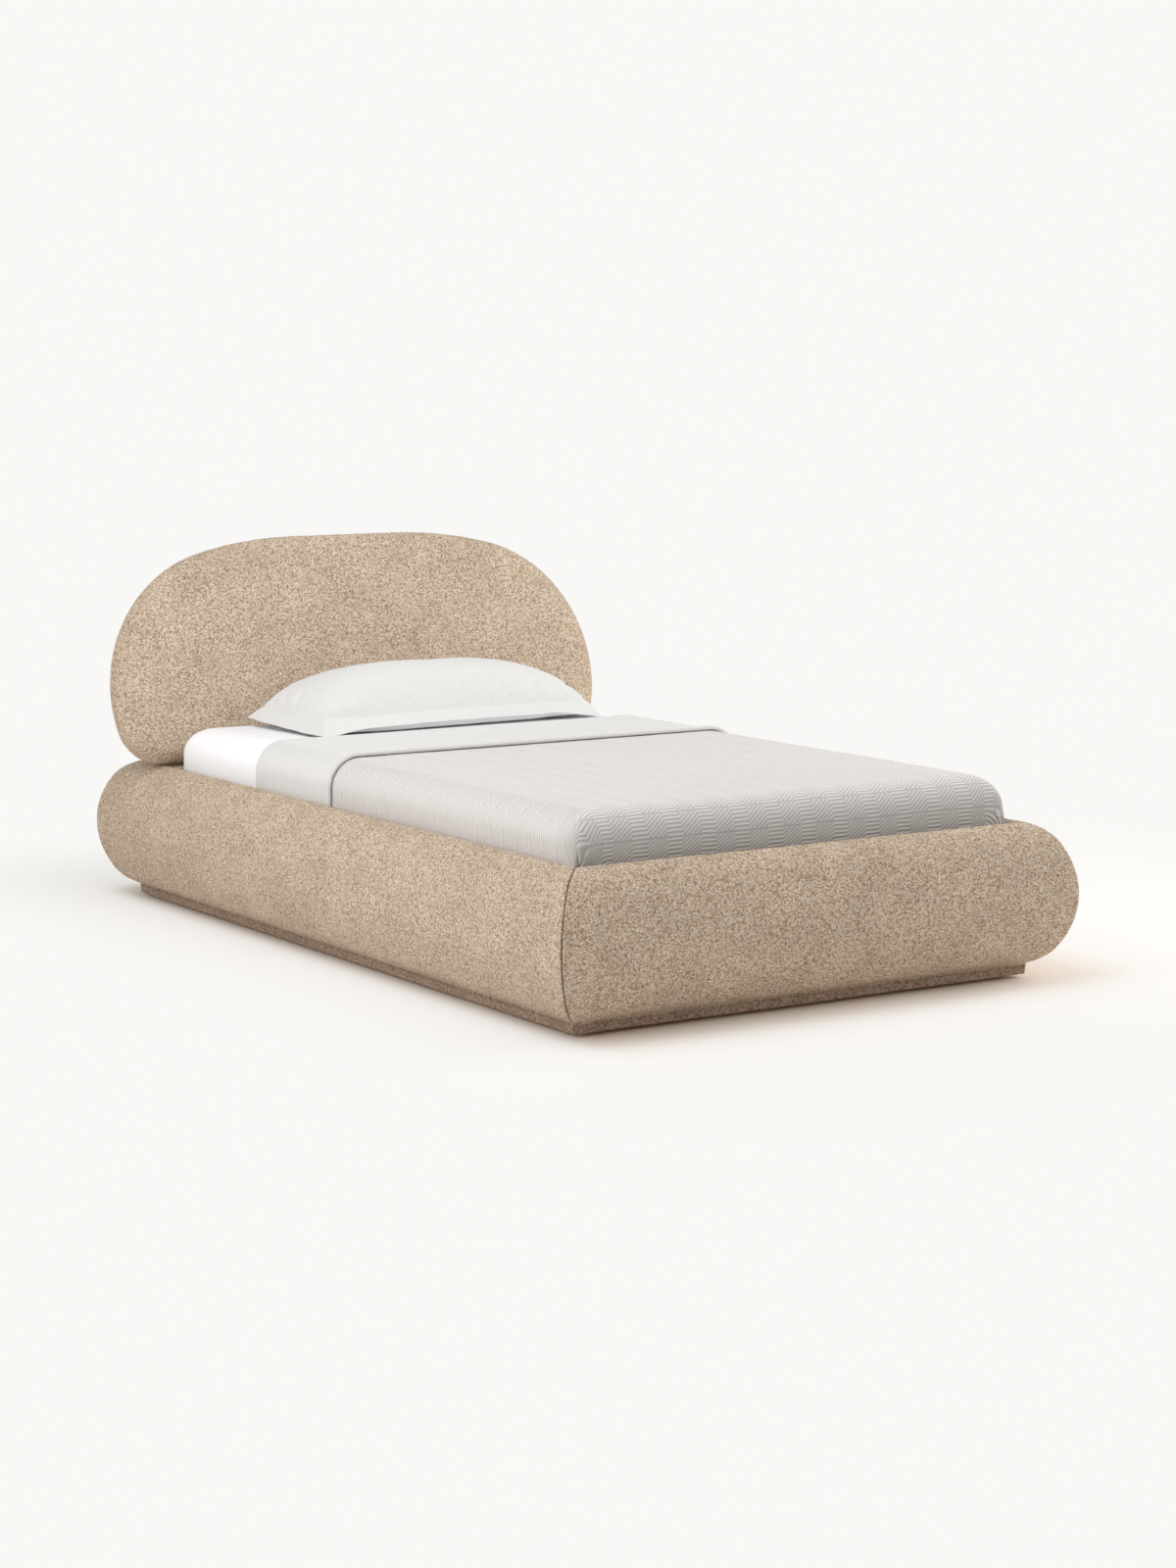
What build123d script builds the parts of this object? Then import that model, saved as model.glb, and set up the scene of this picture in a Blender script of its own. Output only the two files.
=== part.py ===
from build123d import *
import os
from math import acos, atan2, cos, degrees, radians, sin, sqrt

# Upholstered single bed with D-shaped rails and a leaning oval headboard. Sizes are in millimetres.
# The origin is on the floor under the middle of the bed: X runs across it, Y from foot to head, Z up.

os.makedirs("parts", exist_ok=True)

# Clearances
soft_gap = 0.3  # between soft pieces that lie against each other
fabric_seam_reveal = 0.8  # how far each fabric cover stops short of a mitre
bolt_hole_clearance = 0.2  # added to a fastener's radius for its hole
cut_overrun = 20  # how far a cut runs past what it cuts

# Glides and plinth
glide_radius = 20
glide_height = 8
glide_inset = 85  # from the plinth's edges to a corner glide's centre
fabric_thickness = 3
plinth_height = 23
plinth_batten_width = 110

# Rails, drawn outward from the plinth's edge
rail_height = 346
rail_bulge = 90  # how far the belly stands out past the plinth
rail_return = 28  # how far the inner face lies inside the plinth's edge
rail_belly_radius = 250
rail_shoulder_radius = 96
rail_inner_edge_radius = 20
rail_board_thickness = 25
rail_board_drop = 32  # from a rail's top down to its board's top
rail_fabric_turn_in = 75  # height of the fabric that is turned down inside a rail

# Corner brackets, beam hangers and their bolts
bracket_thickness = 3
bracket_leg = 80
bracket_height = 120
bracket_bottom = 60
bracket_bolt_inset = 28  # from a bracket's free edges to a bolt's centre
bolt_radius = 4
bolt_head_radius = 7
bolt_head_height = 4
bolt_socket_radius = 2.6
bolt_socket_depth = 2.4
bolt_grip = 20  # length of thread in a board
hanger_seat_depth = 60
hanger_flange = 34  # width of each bolted flange beside the beam

# Slat ledges and screws
ledge_width = 30
ledge_height = 30
ledge_foot_gap = 45  # from the foot board to a ledge's end
ledge_screw_count = 7
ledge_screw_middle_share = 0.5  # each screw is in the middle of its stretch
ledge_screw_radius = 2.5
ledge_screw_head_radius = 5
ledge_screw_head_height = 3
ledge_screw_grip = 18

# Slats and holders
slat_count = 12
slat_width = 90
slat_thickness = 18
slat_edge_radius = 4
slat_end_margin = 55  # from the mattress's ends to the first and last slat's centres
holder_wall = 3
holder_lip_height = 10
holder_play = 1

# Centre beam and its legs
beam_width = 40
beam_height = 90
beam_play = 1
centre_leg_side = 50
centre_leg_spacing = 900
centre_leg_chamfer = 4

# Mattress, sheet and coverlet
mattress_width = 1200
mattress_length = 1985
mattress_thickness = 210
mattress_depth_in_frame = 107  # from the rails' tops down to the mattress's underside
mattress_side_gap = 12  # from a side rail's inner face to the mattress
mattress_foot_gap = 17.5  # from the foot rail's inner face to the mattress
mattress_head_gap = 161.5  # from the mattress to the head rail's inner face
mattress_corner_radius = 80
mattress_top_radius = 70
mattress_bottom_radius = 25
sheet_thickness = 1
sheet_hem_height = 10  # over the mattress's underside
coverlet_thickness = 4
coverlet_tuck_depth = 75  # under the rails' tops
coverlet_fold_gap = 464.5  # from the mattress's head end to the edge where the coverlet turns back
coverlet_turn_back = 409  # length of the band that is turned back
coverlet_fold_round_share = 0.9  # radius of the turned edge, of the coverlet's thickness
coverlet_pleat_radius = 9  # of the pleat gathered at each foot corner
coverlet_pleat_depth = 5  # from the coverlet's surface to the pleat's centre
coverlet_pleat_fall = 40  # from the start of the mattress's top rounding down to the pleat's top

# Headboard, drawn in its own leaning plane round its middle
headboard_lean = 12  # degrees, top towards the head
headboard_overhang = 30  # past each side rail's belly
headboard_rise = 421  # from the middle to the top, along the lean
headboard_drop = 190  # from the middle to the bottom edge, along the lean
headboard_thickness = 100
headboard_shoulder_radius = 1200
headboard_side_radius = 400
headboard_corner_radius = 125
headboard_shoulder_end = 75.5  # degrees above level where shoulder and side arcs meet
headboard_edge_flat = 2  # width of the flat left between the two rounded edges
headboard_setback = 106  # from the plinth's head edge to the headboard's middle
headboard_core_inset = 65
headboard_core_thickness = 18
headboard_core_setback = 4  # from the pad's middle back to the core's front
headboard_leg_width = 45
headboard_leg_thickness = 22  # of the part inside the pad
headboard_leg_spacing = 700
headboard_leg_reach = 330  # up the pad from its bottom edge
headboard_leg_shoulder_gap = 8  # under the fabric that is turned down inside the head rail
headboard_leg_bolt_gap = 120  # between the two bolts of a leg
headboard_leg_bolt_height = 110
headboard_leg_bolt_land = 45  # wood left between a counterbore and the board
counterbore_clearance = 2

# Deck that closes the head end behind the mattress
head_deck_gap = 1.5  # between the sheet and the deck's fabric
head_deck_drop = 2  # the deck's fabric under the rails' crests
head_deck_thickness = 12
head_deck_apron = 60  # fabric turned down in front
head_deck_rib_height = 35
cross_board_housing = 8  # how far its ends are let into the side boards
cross_board_notch_gap = 2  # under the fabric that is turned down inside the side rails
leg_slot_clearance = 1

# Pillow, drawn round its own middle
pillow_width = 808
pillow_depth = 312
pillow_crown = 138  # top of the pillow over its seam
pillow_belly = 28  # seam over the lowest point
pillow_flange = 45
pillow_flange_thickness = 2.4
pillow_flange_draw = 22  # how far the flange's sides pull in between its corners
pillowcase_thickness = 1
pillow_middle_x = 25
pillow_head_gap = 238.5  # from the mattress's head end to the pillow's middle
pillow_turn = 3.5  # degrees, left end towards the foot
pillow_rest_gap = 0.7  # over the sheet
pillow_station_shares = (-1, -0.86, -0.6, -0.3, 0, 0.3, 0.6, 0.86, 1)
pillow_height_shares = (0.06, 0.6, 0.88, 0.98, 1, 0.98, 0.88, 0.6, 0.06)
pillow_depth_shares = (1, 0.97, 0.94, 0.92, 0.915, 0.92, 0.94, 0.97, 1)
pillow_flat_share = 0.5  # of the depth, flat underneath
pillow_under_curve_shares = (0.62, 0.72)  # a point of the rounding under each side

# Levels and faces worked out from the sizes above
plinth_width = mattress_width + 2 * (mattress_side_gap + rail_return)
plinth_length = mattress_length + mattress_foot_gap + mattress_head_gap + 2 * rail_return
plinth_top = glide_height + plinth_height
rail_middle = plinth_top + rail_height / 2
rail_top = plinth_top + rail_height
rail_board_height = rail_height - rail_board_drop
board_inner_u = fabric_thickness - rail_return
board_inner_x = plinth_width / 2 + board_inner_u
board_inner_y = plinth_length / 2 + board_inner_u
mattress_foot_y = rail_return - plinth_length / 2 + mattress_foot_gap
mattress_middle_y = mattress_foot_y + mattress_length / 2
mattress_head_y = mattress_foot_y + mattress_length
coverlet_fold_y = mattress_head_y - coverlet_fold_gap
pillow_middle_y = mattress_head_y - pillow_head_gap
headboard_width = plinth_width + 2 * (rail_bulge + headboard_overhang)
headboard_middle_y = plinth_length / 2 - headboard_setback
mattress_bottom = rail_top - mattress_depth_in_frame
slat_top = mattress_bottom - soft_gap
ledge_top = slat_top - slat_thickness - holder_wall
beam_bottom = ledge_top - beam_height
sheet_inner = soft_gap
sheet_outer = sheet_inner + sheet_thickness
coverlet_inner = sheet_outer + soft_gap
coverlet_outer = coverlet_inner + coverlet_thickness
turn_back_outer = coverlet_outer + coverlet_thickness
bedding_top = mattress_bottom + mattress_thickness + sheet_outer
cross_board_front_y = mattress_head_y + sheet_outer + head_deck_gap + fabric_thickness
cross_board_middle_y = cross_board_front_y + rail_board_thickness / 2
turned_fabric_bottom = rail_top - rail_fabric_turn_in
cross_board_shoulder = turned_fabric_bottom - cross_board_notch_gap


def finish(part, name):
    """Label a finished sub-part and write it to its own file."""
    part.label = name
    export_step(part, f"parts/{name}.step")


def on_circle(centre, radius, angle):
    """A point on a circle, at an angle in degrees."""
    return (centre[0] + radius * cos(radians(angle)), centre[1] + radius * sin(radians(angle)))


# Rail sections. In a rail's plane x points outward from the plinth's edge and y up from mid height.
def rail_section(inset):
    """The D-shaped outline of a rail, moved inward by inset."""
    belly_centre = (rail_bulge - rail_belly_radius, 0)
    rise = rail_height / 2 - rail_shoulder_radius
    run = sqrt((rail_belly_radius - rail_shoulder_radius) ** 2 - rise**2)
    upper_centre = (belly_centre[0] + run, rise)
    belly_end = degrees(atan2(rise, run))
    radius = rail_shoulder_radius - inset
    top_end = degrees(acos((inset - rail_return - upper_centre[0]) / radius))
    junction = on_circle(upper_centre, radius, belly_end)
    shoulder = on_circle(upper_centre, radius, (belly_end + top_end) / 2)
    top = on_circle(upper_centre, radius, top_end)
    with BuildSketch() as section:
        with BuildLine():
            ThreePointArc((top[0], -top[1]), (shoulder[0], -shoulder[1]), (junction[0], -junction[1]))
            ThreePointArc((junction[0], -junction[1]), (rail_bulge - inset, 0), junction)
            ThreePointArc(junction, shoulder, top)
            Line(top, (top[0], -top[1]))
        make_face()
        inner_top = section.vertices().group_by(Axis.X)[0].sort_by(Axis.Y)[-1]
        fillet(inner_top, rail_inner_edge_radius - inset)
    return section.sketch


with BuildSketch() as board_section:
    with Locations((board_inner_u, -rail_height / 2)):
        Rectangle(rail_board_thickness, rail_board_height, align=(Align.MIN, Align.MIN))

with BuildSketch() as foam_section:
    add(rail_section(fabric_thickness))
    add(board_section.sketch, mode=Mode.SUBTRACT)

with BuildSketch() as cover_section:
    add(rail_section(0))
    add(rail_section(fabric_thickness), mode=Mode.SUBTRACT)
    add(board_section.sketch, mode=Mode.SUBTRACT)
    with Locations((board_inner_u, rail_height / 2 - rail_fabric_turn_in)):
        Rectangle(fabric_thickness + cut_overrun, rail_height, align=(Align.MAX, Align.MAX), mode=Mode.SUBTRACT)

with BuildSketch() as batten_section:
    with Locations((-fabric_thickness, -rail_height / 2)):
        Rectangle(plinth_batten_width, plinth_height - fabric_thickness, align=(Align.MAX, Align.MAX))

with BuildSketch() as plinth_cover_section:
    with Locations((0, -rail_height / 2)):
        Rectangle(plinth_batten_width + fabric_thickness, plinth_height, align=(Align.MAX, Align.MAX))
    add(batten_section.sketch, mode=Mode.SUBTRACT)

# Each side of the bed: its outward direction, the distance to its plinth edge and half its length
bed_sides = {
    "left": (Vector(-1, 0, 0), plinth_width / 2, plinth_length / 2),
    "right": (Vector(1, 0, 0), plinth_width / 2, plinth_length / 2),
    "foot": (Vector(0, -1, 0), plinth_length / 2, plinth_width / 2),
    "head": (Vector(0, 1, 0), plinth_length / 2, plinth_width / 2),
}


def side_plane(side):
    """The section plane across the middle of one side of the bed."""
    outward, reach, _ = bed_sides[side]
    return Plane(origin=outward * reach + Vector(0, 0, rail_middle), x_dir=outward, z_dir=outward.cross(Vector(0, 0, 1)))


def mitre_planes(side, reveal):
    """The two mitre planes of one side, facing away from it and moved inward by reveal."""
    outward, reach, half_length = bed_sides[side]
    planes = []
    for along in (outward.cross(Vector(0, 0, 1)), outward.cross(Vector(0, 0, -1))):
        normal = (along - outward).normalized()
        corner = outward * reach + along * half_length
        planes.append(Plane(origin=corner - normal * reveal, z_dir=normal))
    return planes


# Bolts that join the boards. Each plane's origin is under a bolt's head, its normal points into the wood.
bracket_bolt_heights = (bracket_bottom + bracket_bolt_inset, bracket_bottom + bracket_height - bracket_bolt_inset)
hanger_faces = {"foot": -board_inner_y, "head": cross_board_front_y}
hanger_inner = beam_width / 2 + beam_play
hanger_bolt_height = ledge_top - beam_height / 2
hanger_bolt_x = hanger_inner + bracket_thickness + hanger_flange / 2
leg_bolt_heights = (headboard_leg_bolt_height, headboard_leg_bolt_height + headboard_leg_bolt_gap)


def side_bolts(side, surface):
    """Planes of the bolts that enter one side's board, on a surface that far in front of the wood."""
    outward, _, _ = bed_sides[side]
    planes = []
    for height in bracket_bolt_heights:
        for end in (-1, 1):
            along_x = end * (board_inner_x - bracket_leg + bracket_bolt_inset)
            along_y = end * (board_inner_y - bracket_leg + bracket_bolt_inset)
            if side in ("left", "right"):
                origin = Vector(outward.X * (board_inner_x - surface), along_y, height)
            else:
                origin = Vector(along_x, outward.Y * (board_inner_y - surface), height)
            planes.append(Plane(origin=origin, z_dir=outward))
    return planes


def hanger_bolts(side, surface):
    """Planes of the two bolts through one beam hanger."""
    outward, _, _ = bed_sides[side]
    y = hanger_faces[side] - outward.Y * surface
    return [Plane(origin=Vector(end * hanger_bolt_x, y, hanger_bolt_height), z_dir=outward) for end in (-1, 1)]


def leg_bolts(surface):
    """Planes of the bolts through the headboard's legs."""
    planes = []
    for end in (-1, 1):
        for height in leg_bolt_heights:
            origin = Vector(end * headboard_leg_spacing / 2, board_inner_y - surface, height)
            planes.append(Plane(origin=origin, z_dir=Vector(0, 1, 0)))
    return planes


# Screws that fix the ledges, with their heads sunk in the ledges' inner faces
ledge_foot_y = ledge_foot_gap - board_inner_y
ledge_head_y = mattress_head_y
ledge_length = ledge_head_y - ledge_foot_y
ledge_screw_pitch = ledge_length / ledge_screw_count


def ledge_screws(side):
    """Planes at the heads of one ledge's screws."""
    outward, _, _ = bed_sides[side]
    planes = []
    for i in range(ledge_screw_count):
        y = ledge_foot_y + ledge_screw_pitch * (i + ledge_screw_middle_share)
        x = outward.X * (board_inner_x - ledge_width)
        planes.append(Plane(origin=Vector(x, y, ledge_top - ledge_height / 2), z_dir=outward))
    return planes


# Rail boards
for side in bed_sides:
    with BuildPart() as rail_board:
        with BuildSketch(side_plane(side)):
            add(board_section.sketch)
        extrude(amount=bed_sides[side][2] + rail_bulge, both=True)
        for plane in mitre_planes(side, 0):
            split(bisect_by=plane, keep=Keep.BOTTOM)
        bolt_planes = side_bolts(side, 0)
        if side == "foot":
            bolt_planes += hanger_bolts(side, 0)
        if side == "head":
            bolt_planes += leg_bolts(0)
        with Locations(*bolt_planes):
            Cylinder(
                bolt_radius + bolt_hole_clearance,
                bolt_grip + bolt_hole_clearance,
                align=(Align.CENTER, Align.CENTER, Align.MIN),
                mode=Mode.SUBTRACT,
            )
        if side in ("left", "right"):
            with Locations(*ledge_screws(side)):
                Cylinder(
                    ledge_screw_radius + bolt_hole_clearance,
                    ledge_width + ledge_screw_grip + bolt_hole_clearance,
                    align=(Align.CENTER, Align.CENTER, Align.MIN),
                    mode=Mode.SUBTRACT,
                )
            with Locations((0, cross_board_middle_y, 0)):
                Box(
                    2 * (board_inner_x + cross_board_housing),
                    rail_board_thickness,
                    cross_board_shoulder,
                    align=(Align.CENTER, Align.CENTER, Align.MIN),
                    mode=Mode.SUBTRACT,
                )
    finish(rail_board.part, f"rail_board_{side}")

# Rail foam and rail covers
for side in bed_sides:
    with BuildPart() as rail_foam:
        with BuildSketch(side_plane(side)):
            add(foam_section.sketch)
        extrude(amount=bed_sides[side][2] + rail_bulge + cut_overrun, both=True)
        for plane in mitre_planes(side, soft_gap / 2):
            split(bisect_by=plane, keep=Keep.BOTTOM)
    finish(rail_foam.part, f"rail_foam_{side}")

    with BuildPart() as rail_cover:
        with BuildSketch(side_plane(side)):
            add(cover_section.sketch)
        extrude(amount=bed_sides[side][2] + rail_bulge + cut_overrun, both=True)
        for plane in mitre_planes(side, fabric_seam_reveal):
            split(bisect_by=plane, keep=Keep.BOTTOM)
    finish(rail_cover.part, f"rail_cover_{side}")

# Plinth battens and the fabric round them
for side in bed_sides:
    with BuildPart() as plinth_batten:
        with BuildSketch(side_plane(side)):
            add(batten_section.sketch)
        extrude(amount=bed_sides[side][2], both=True)
        for plane in mitre_planes(side, 0):
            split(bisect_by=plane, keep=Keep.BOTTOM)
    finish(plinth_batten.part, f"plinth_batten_{side}")

    with BuildPart() as plinth_cover:
        with BuildSketch(side_plane(side)):
            add(plinth_cover_section.sketch)
        extrude(amount=bed_sides[side][2], both=True)
        for plane in mitre_planes(side, 0):
            split(bisect_by=plane, keep=Keep.BOTTOM)
    finish(plinth_cover.part, f"plinth_cover_{side}")


# Corner brackets, bent from flat steel
for end_name, end in (("foot", -1), ("head", 1)):
    for side, hand in (("left", -1), ("right", 1)):
        outer = (hand * board_inner_x, end * board_inner_y)
        inner = (hand * (board_inner_x - bracket_thickness), end * (board_inner_y - bracket_thickness))
        tip = (hand * (board_inner_x - bracket_leg), end * (board_inner_y - bracket_leg))
        with BuildPart() as corner_bracket:
            with BuildSketch(Plane.XY.offset(bracket_bottom)) as bracket_section:
                with BuildLine():
                    Polyline(
                        outer,
                        (tip[0], outer[1]),
                        (tip[0], inner[1]),
                        inner,
                        (inner[0], tip[1]),
                        (outer[0], tip[1]),
                        close=True,
                    )
                make_face()
                bend = bracket_section.vertices().sort_by_distance((*outer, 0))
                fillet(bend[0], 2 * bracket_thickness)
                fillet(bracket_section.vertices().sort_by_distance((*inner, 0))[0], bracket_thickness)
            extrude(amount=bracket_height)
            with Locations(*side_bolts(side, bracket_thickness), *side_bolts(end_name, bracket_thickness)):
                Cylinder(
                    bolt_radius + bolt_hole_clearance,
                    bracket_thickness,
                    align=(Align.CENTER, Align.CENTER, Align.MIN),
                    mode=Mode.SUBTRACT,
                )
        finish(corner_bracket.part, f"corner_bracket_{end_name}_{side}")

# Beam hangers, each a bolted plate with a tray for the beam's end
hanger_height = beam_height + bracket_thickness
hanger_bottom = ledge_top - hanger_height
tray_half_width = hanger_inner + bracket_thickness
with BuildPart() as beam_hangers:
    for side in ("foot", "head"):
        inward = -bed_sides[side][0].Y
        with Locations((0, hanger_faces[side] + inward * bracket_thickness / 2, hanger_bottom)):
            Box(
                2 * (tray_half_width + hanger_flange),
                bracket_thickness,
                hanger_height,
                align=(Align.CENTER, Align.CENTER, Align.MIN),
            )
        tray_y = hanger_faces[side] + inward * (bracket_thickness + hanger_seat_depth / 2)
        with Locations((0, tray_y, hanger_bottom)):
            Box(
                2 * tray_half_width,
                hanger_seat_depth,
                hanger_height,
                align=(Align.CENTER, Align.CENTER, Align.MIN),
            )
        with Locations((0, tray_y, beam_bottom)):
            Box(
                2 * hanger_inner,
                hanger_seat_depth,
                beam_height,
                align=(Align.CENTER, Align.CENTER, Align.MIN),
                mode=Mode.SUBTRACT,
            )
        with Locations(*hanger_bolts(side, bracket_thickness)):
            Cylinder(
                bolt_radius + bolt_hole_clearance,
                bracket_thickness,
                align=(Align.CENTER, Align.CENTER, Align.MIN),
                mode=Mode.SUBTRACT,
            )
finish(beam_hangers.part, "beam_hangers")


def socket_bolt(length):
    """One bolt with its head below the origin and its shank above, and a six-sided socket."""
    with BuildPart() as bolt:
        Cylinder(bolt_head_radius, bolt_head_height, align=(Align.CENTER, Align.CENTER, Align.MAX))
        Cylinder(bolt_radius, length, align=(Align.CENTER, Align.CENTER, Align.MIN))
        with BuildSketch(Plane.XY.offset(-bolt_head_height)):
            RegularPolygon(bolt_socket_radius, 6)
        extrude(amount=bolt_socket_depth, mode=Mode.SUBTRACT)
    return bolt.part


bracket_bolt = socket_bolt(bracket_thickness + bolt_grip)
leg_bolt = socket_bolt(headboard_leg_bolt_land + bolt_grip)
bracket_bolt_planes = [plane for side in bed_sides for plane in side_bolts(side, bracket_thickness)]
bracket_bolt_planes += hanger_bolts("foot", bracket_thickness) + hanger_bolts("head", bracket_thickness)
with BuildPart() as frame_bolts:
    with Locations(*bracket_bolt_planes):
        add(bracket_bolt)
    with Locations(*leg_bolts(headboard_leg_bolt_land)):
        add(leg_bolt)
finish(frame_bolts.part, "frame_bolts")

# Slat ledges and the screws that hold them
for side, hand in (("left", -1), ("right", 1)):
    with BuildPart() as slat_ledge:
        with Locations((hand * (board_inner_x - ledge_width / 2), (ledge_foot_y + ledge_head_y) / 2, ledge_top)):
            Box(ledge_width, ledge_length, ledge_height, align=(Align.CENTER, Align.CENTER, Align.MAX))
        with Locations(*ledge_screws(side)):
            Cylinder(
                ledge_screw_head_radius + bolt_hole_clearance,
                ledge_screw_head_height,
                align=(Align.CENTER, Align.CENTER, Align.MIN),
                mode=Mode.SUBTRACT,
            )
            Cylinder(
                ledge_screw_radius + bolt_hole_clearance,
                ledge_width,
                align=(Align.CENTER, Align.CENTER, Align.MIN),
                mode=Mode.SUBTRACT,
            )
    finish(slat_ledge.part, f"slat_ledge_{side}")

with BuildPart() as ledge_screw_group:
    with Locations(*ledge_screws("left"), *ledge_screws("right")):
        Cylinder(
            ledge_screw_head_radius,
            ledge_screw_head_height,
            align=(Align.CENTER, Align.CENTER, Align.MIN),
        )
        Cylinder(
            ledge_screw_radius,
            ledge_width + ledge_screw_grip,
            align=(Align.CENTER, Align.CENTER, Align.MIN),
        )
finish(ledge_screw_group.part, "ledge_screws")

# Slats, their end holders and the pads under their middles
slat_half_length = board_inner_x - holder_wall - holder_play
slat_first_y = mattress_foot_y + slat_end_margin
slat_pitch = (mattress_length - 2 * slat_end_margin) / (slat_count - 1)
slat_ys = [slat_first_y + slat_pitch * i for i in range(slat_count)]
slat_bottom = slat_top - slat_thickness
for number, y in enumerate(slat_ys, start=1):
    with BuildPart() as slat:
        with Locations((0, y, slat_bottom)):
            Box(2 * slat_half_length, slat_width, slat_thickness, align=(Align.CENTER, Align.CENTER, Align.MIN))
        fillet(slat.edges().filter_by(Axis.X), slat_edge_radius)
    finish(slat.part, f"slat_{number:02d}")

holder_pocket = ledge_width - holder_wall
with BuildPart() as slat_holders:
    for hand in (-1, 1):
        with Locations(*[(hand * (board_inner_x - ledge_width / 2), y, ledge_top) for y in slat_ys]):
            Box(
                ledge_width,
                slat_width + 2 * (holder_play + holder_wall),
                holder_wall + holder_lip_height,
                align=(Align.CENTER, Align.CENTER, Align.MIN),
            )
        pocket_x = hand * (board_inner_x - holder_wall - (holder_pocket + cut_overrun) / 2)
        with Locations(*[(pocket_x, y, ledge_top + holder_wall) for y in slat_ys]):
            Box(
                holder_pocket + cut_overrun,
                slat_width + 2 * holder_play,
                holder_lip_height + cut_overrun,
                align=(Align.CENTER, Align.CENTER, Align.MIN),
                mode=Mode.SUBTRACT,
            )
finish(slat_holders.part, "slat_holders")

with BuildPart() as slat_pads:
    with Locations(*[(0, y, ledge_top) for y in slat_ys]):
        Box(beam_width, slat_width, holder_wall, align=(Align.CENTER, Align.CENTER, Align.MIN))
finish(slat_pads.part, "slat_pads")

# Centre beam, its legs and all the glides
beam_end_gap = bracket_thickness + beam_play
beam_length = hanger_faces["head"] - hanger_faces["foot"] - 2 * beam_end_gap
with BuildPart() as centre_beam:
    with Locations((0, (hanger_faces["head"] + hanger_faces["foot"]) / 2, beam_bottom)):
        Box(beam_width, beam_length, beam_height, align=(Align.CENTER, Align.CENTER, Align.MIN))
finish(centre_beam.part, "centre_beam")

with BuildPart() as centre_legs:
    with BuildSketch(Plane.XY.offset(glide_height)) as leg_sections:
        with GridLocations(0, centre_leg_spacing, 1, 2):
            Rectangle(centre_leg_side, centre_leg_side)
        chamfer(leg_sections.vertices(), centre_leg_chamfer)
    extrude(amount=beam_bottom - glide_height)
finish(centre_legs.part, "centre_legs")

with BuildPart() as glides:
    with BuildSketch():
        with GridLocations(plinth_width - 2 * glide_inset, plinth_length / 2 - glide_inset, 2, 3):
            Circle(glide_radius)
        with GridLocations(0, centre_leg_spacing, 1, 2):
            Circle(glide_radius)
    extrude(amount=glide_height)
finish(glides.part, "glides")


# Mattress, fitted sheet and coverlet
def bedding_block(grow, bottom):
    """The mattress's form grown by a distance, from a level up."""
    with BuildPart() as block:
        with BuildSketch(Plane.XY.offset(bottom)):
            with Locations((0, mattress_middle_y)):
                RectangleRounded(
                    mattress_width + 2 * grow,
                    mattress_length + 2 * grow,
                    mattress_corner_radius + grow,
                )
        extrude(amount=mattress_bottom + mattress_thickness + grow - bottom)
        fillet(block.edges().group_by(Axis.Z)[-1], mattress_top_radius + grow)
    return block.part


mattress_block = bedding_block(0, mattress_bottom)
with BuildPart() as mattress:
    add(mattress_block)
    fillet(mattress.edges().group_by(Axis.Z)[0], mattress_bottom_radius)
finish(mattress.part, "mattress")

sheet_hem = mattress_bottom + sheet_hem_height
sheet_outside = bedding_block(sheet_outer, sheet_hem)
sheet_inside = bedding_block(sheet_inner, sheet_hem - cut_overrun)
with BuildPart() as fitted_sheet:
    add(sheet_outside)
    add(sheet_inside, mode=Mode.SUBTRACT)
finish(fitted_sheet.part, "fitted_sheet")

coverlet_hem = rail_top - coverlet_tuck_depth
turn_back_outside = bedding_block(turn_back_outer, coverlet_hem)
coverlet_outside = bedding_block(coverlet_outer, coverlet_hem)
coverlet_inside = bedding_block(coverlet_inner, coverlet_hem - cut_overrun)
corner_centre_x = mattress_width / 2 - mattress_corner_radius
corner_centre_y = mattress_foot_y + mattress_corner_radius
pleat_orbit = mattress_corner_radius + coverlet_outer - coverlet_pleat_depth
pleat_height = mattress_bottom + mattress_thickness - mattress_top_radius - coverlet_pleat_fall - coverlet_hem
pleat_places = []
for hand in (-1, 1):
    pleat_x, pleat_y = on_circle((corner_centre_x, corner_centre_y), pleat_orbit, -45)
    pleat_places.append((hand * pleat_x, pleat_y, coverlet_hem))
with BuildPart() as foot_pleats:
    with Locations(*pleat_places):
        Cylinder(coverlet_pleat_radius, pleat_height, align=(Align.CENTER, Align.CENTER, Align.MIN))
    fillet(foot_pleats.edges().group_by(Axis.Z)[-1], coverlet_fold_round_share * coverlet_pleat_radius)
with BuildPart() as coverlet:
    add(turn_back_outside)
    split(bisect_by=Plane.XZ.offset(coverlet_turn_back - coverlet_fold_y), keep=Keep.BOTTOM)
    add(coverlet_outside)
    add(foot_pleats.part)
    add(coverlet_inside, mode=Mode.SUBTRACT)
    split(bisect_by=Plane.XZ.offset(-coverlet_fold_y), keep=Keep.TOP)
    turned_edge = coverlet.faces().sort_by(Axis.Y)[-1]
    fillet(turned_edge.edges(), coverlet_fold_round_share * coverlet_thickness)
finish(coverlet.part, "coverlet")

# Headboard. Its plane's x runs across the bed, y up the lean and its normal points to the foot.
rail_crest = rail_middle + rail_section(0).bounding_box().max.Y
headboard_edge_radius = (headboard_thickness - headboard_edge_flat) / 2
lean_sin = sin(radians(headboard_lean))
lean_cos = cos(radians(headboard_lean))
headboard_lowest = (headboard_drop - headboard_edge_radius) * lean_cos + headboard_edge_radius
headboard_lowest += headboard_edge_flat / 2 * lean_sin
headboard_middle_z = rail_crest + soft_gap + headboard_lowest
headboard_plane = Plane(
    origin=(0, headboard_middle_y, headboard_middle_z),
    x_dir=(1, 0, 0),
    z_dir=(0, -lean_cos, lean_sin),
)


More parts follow.
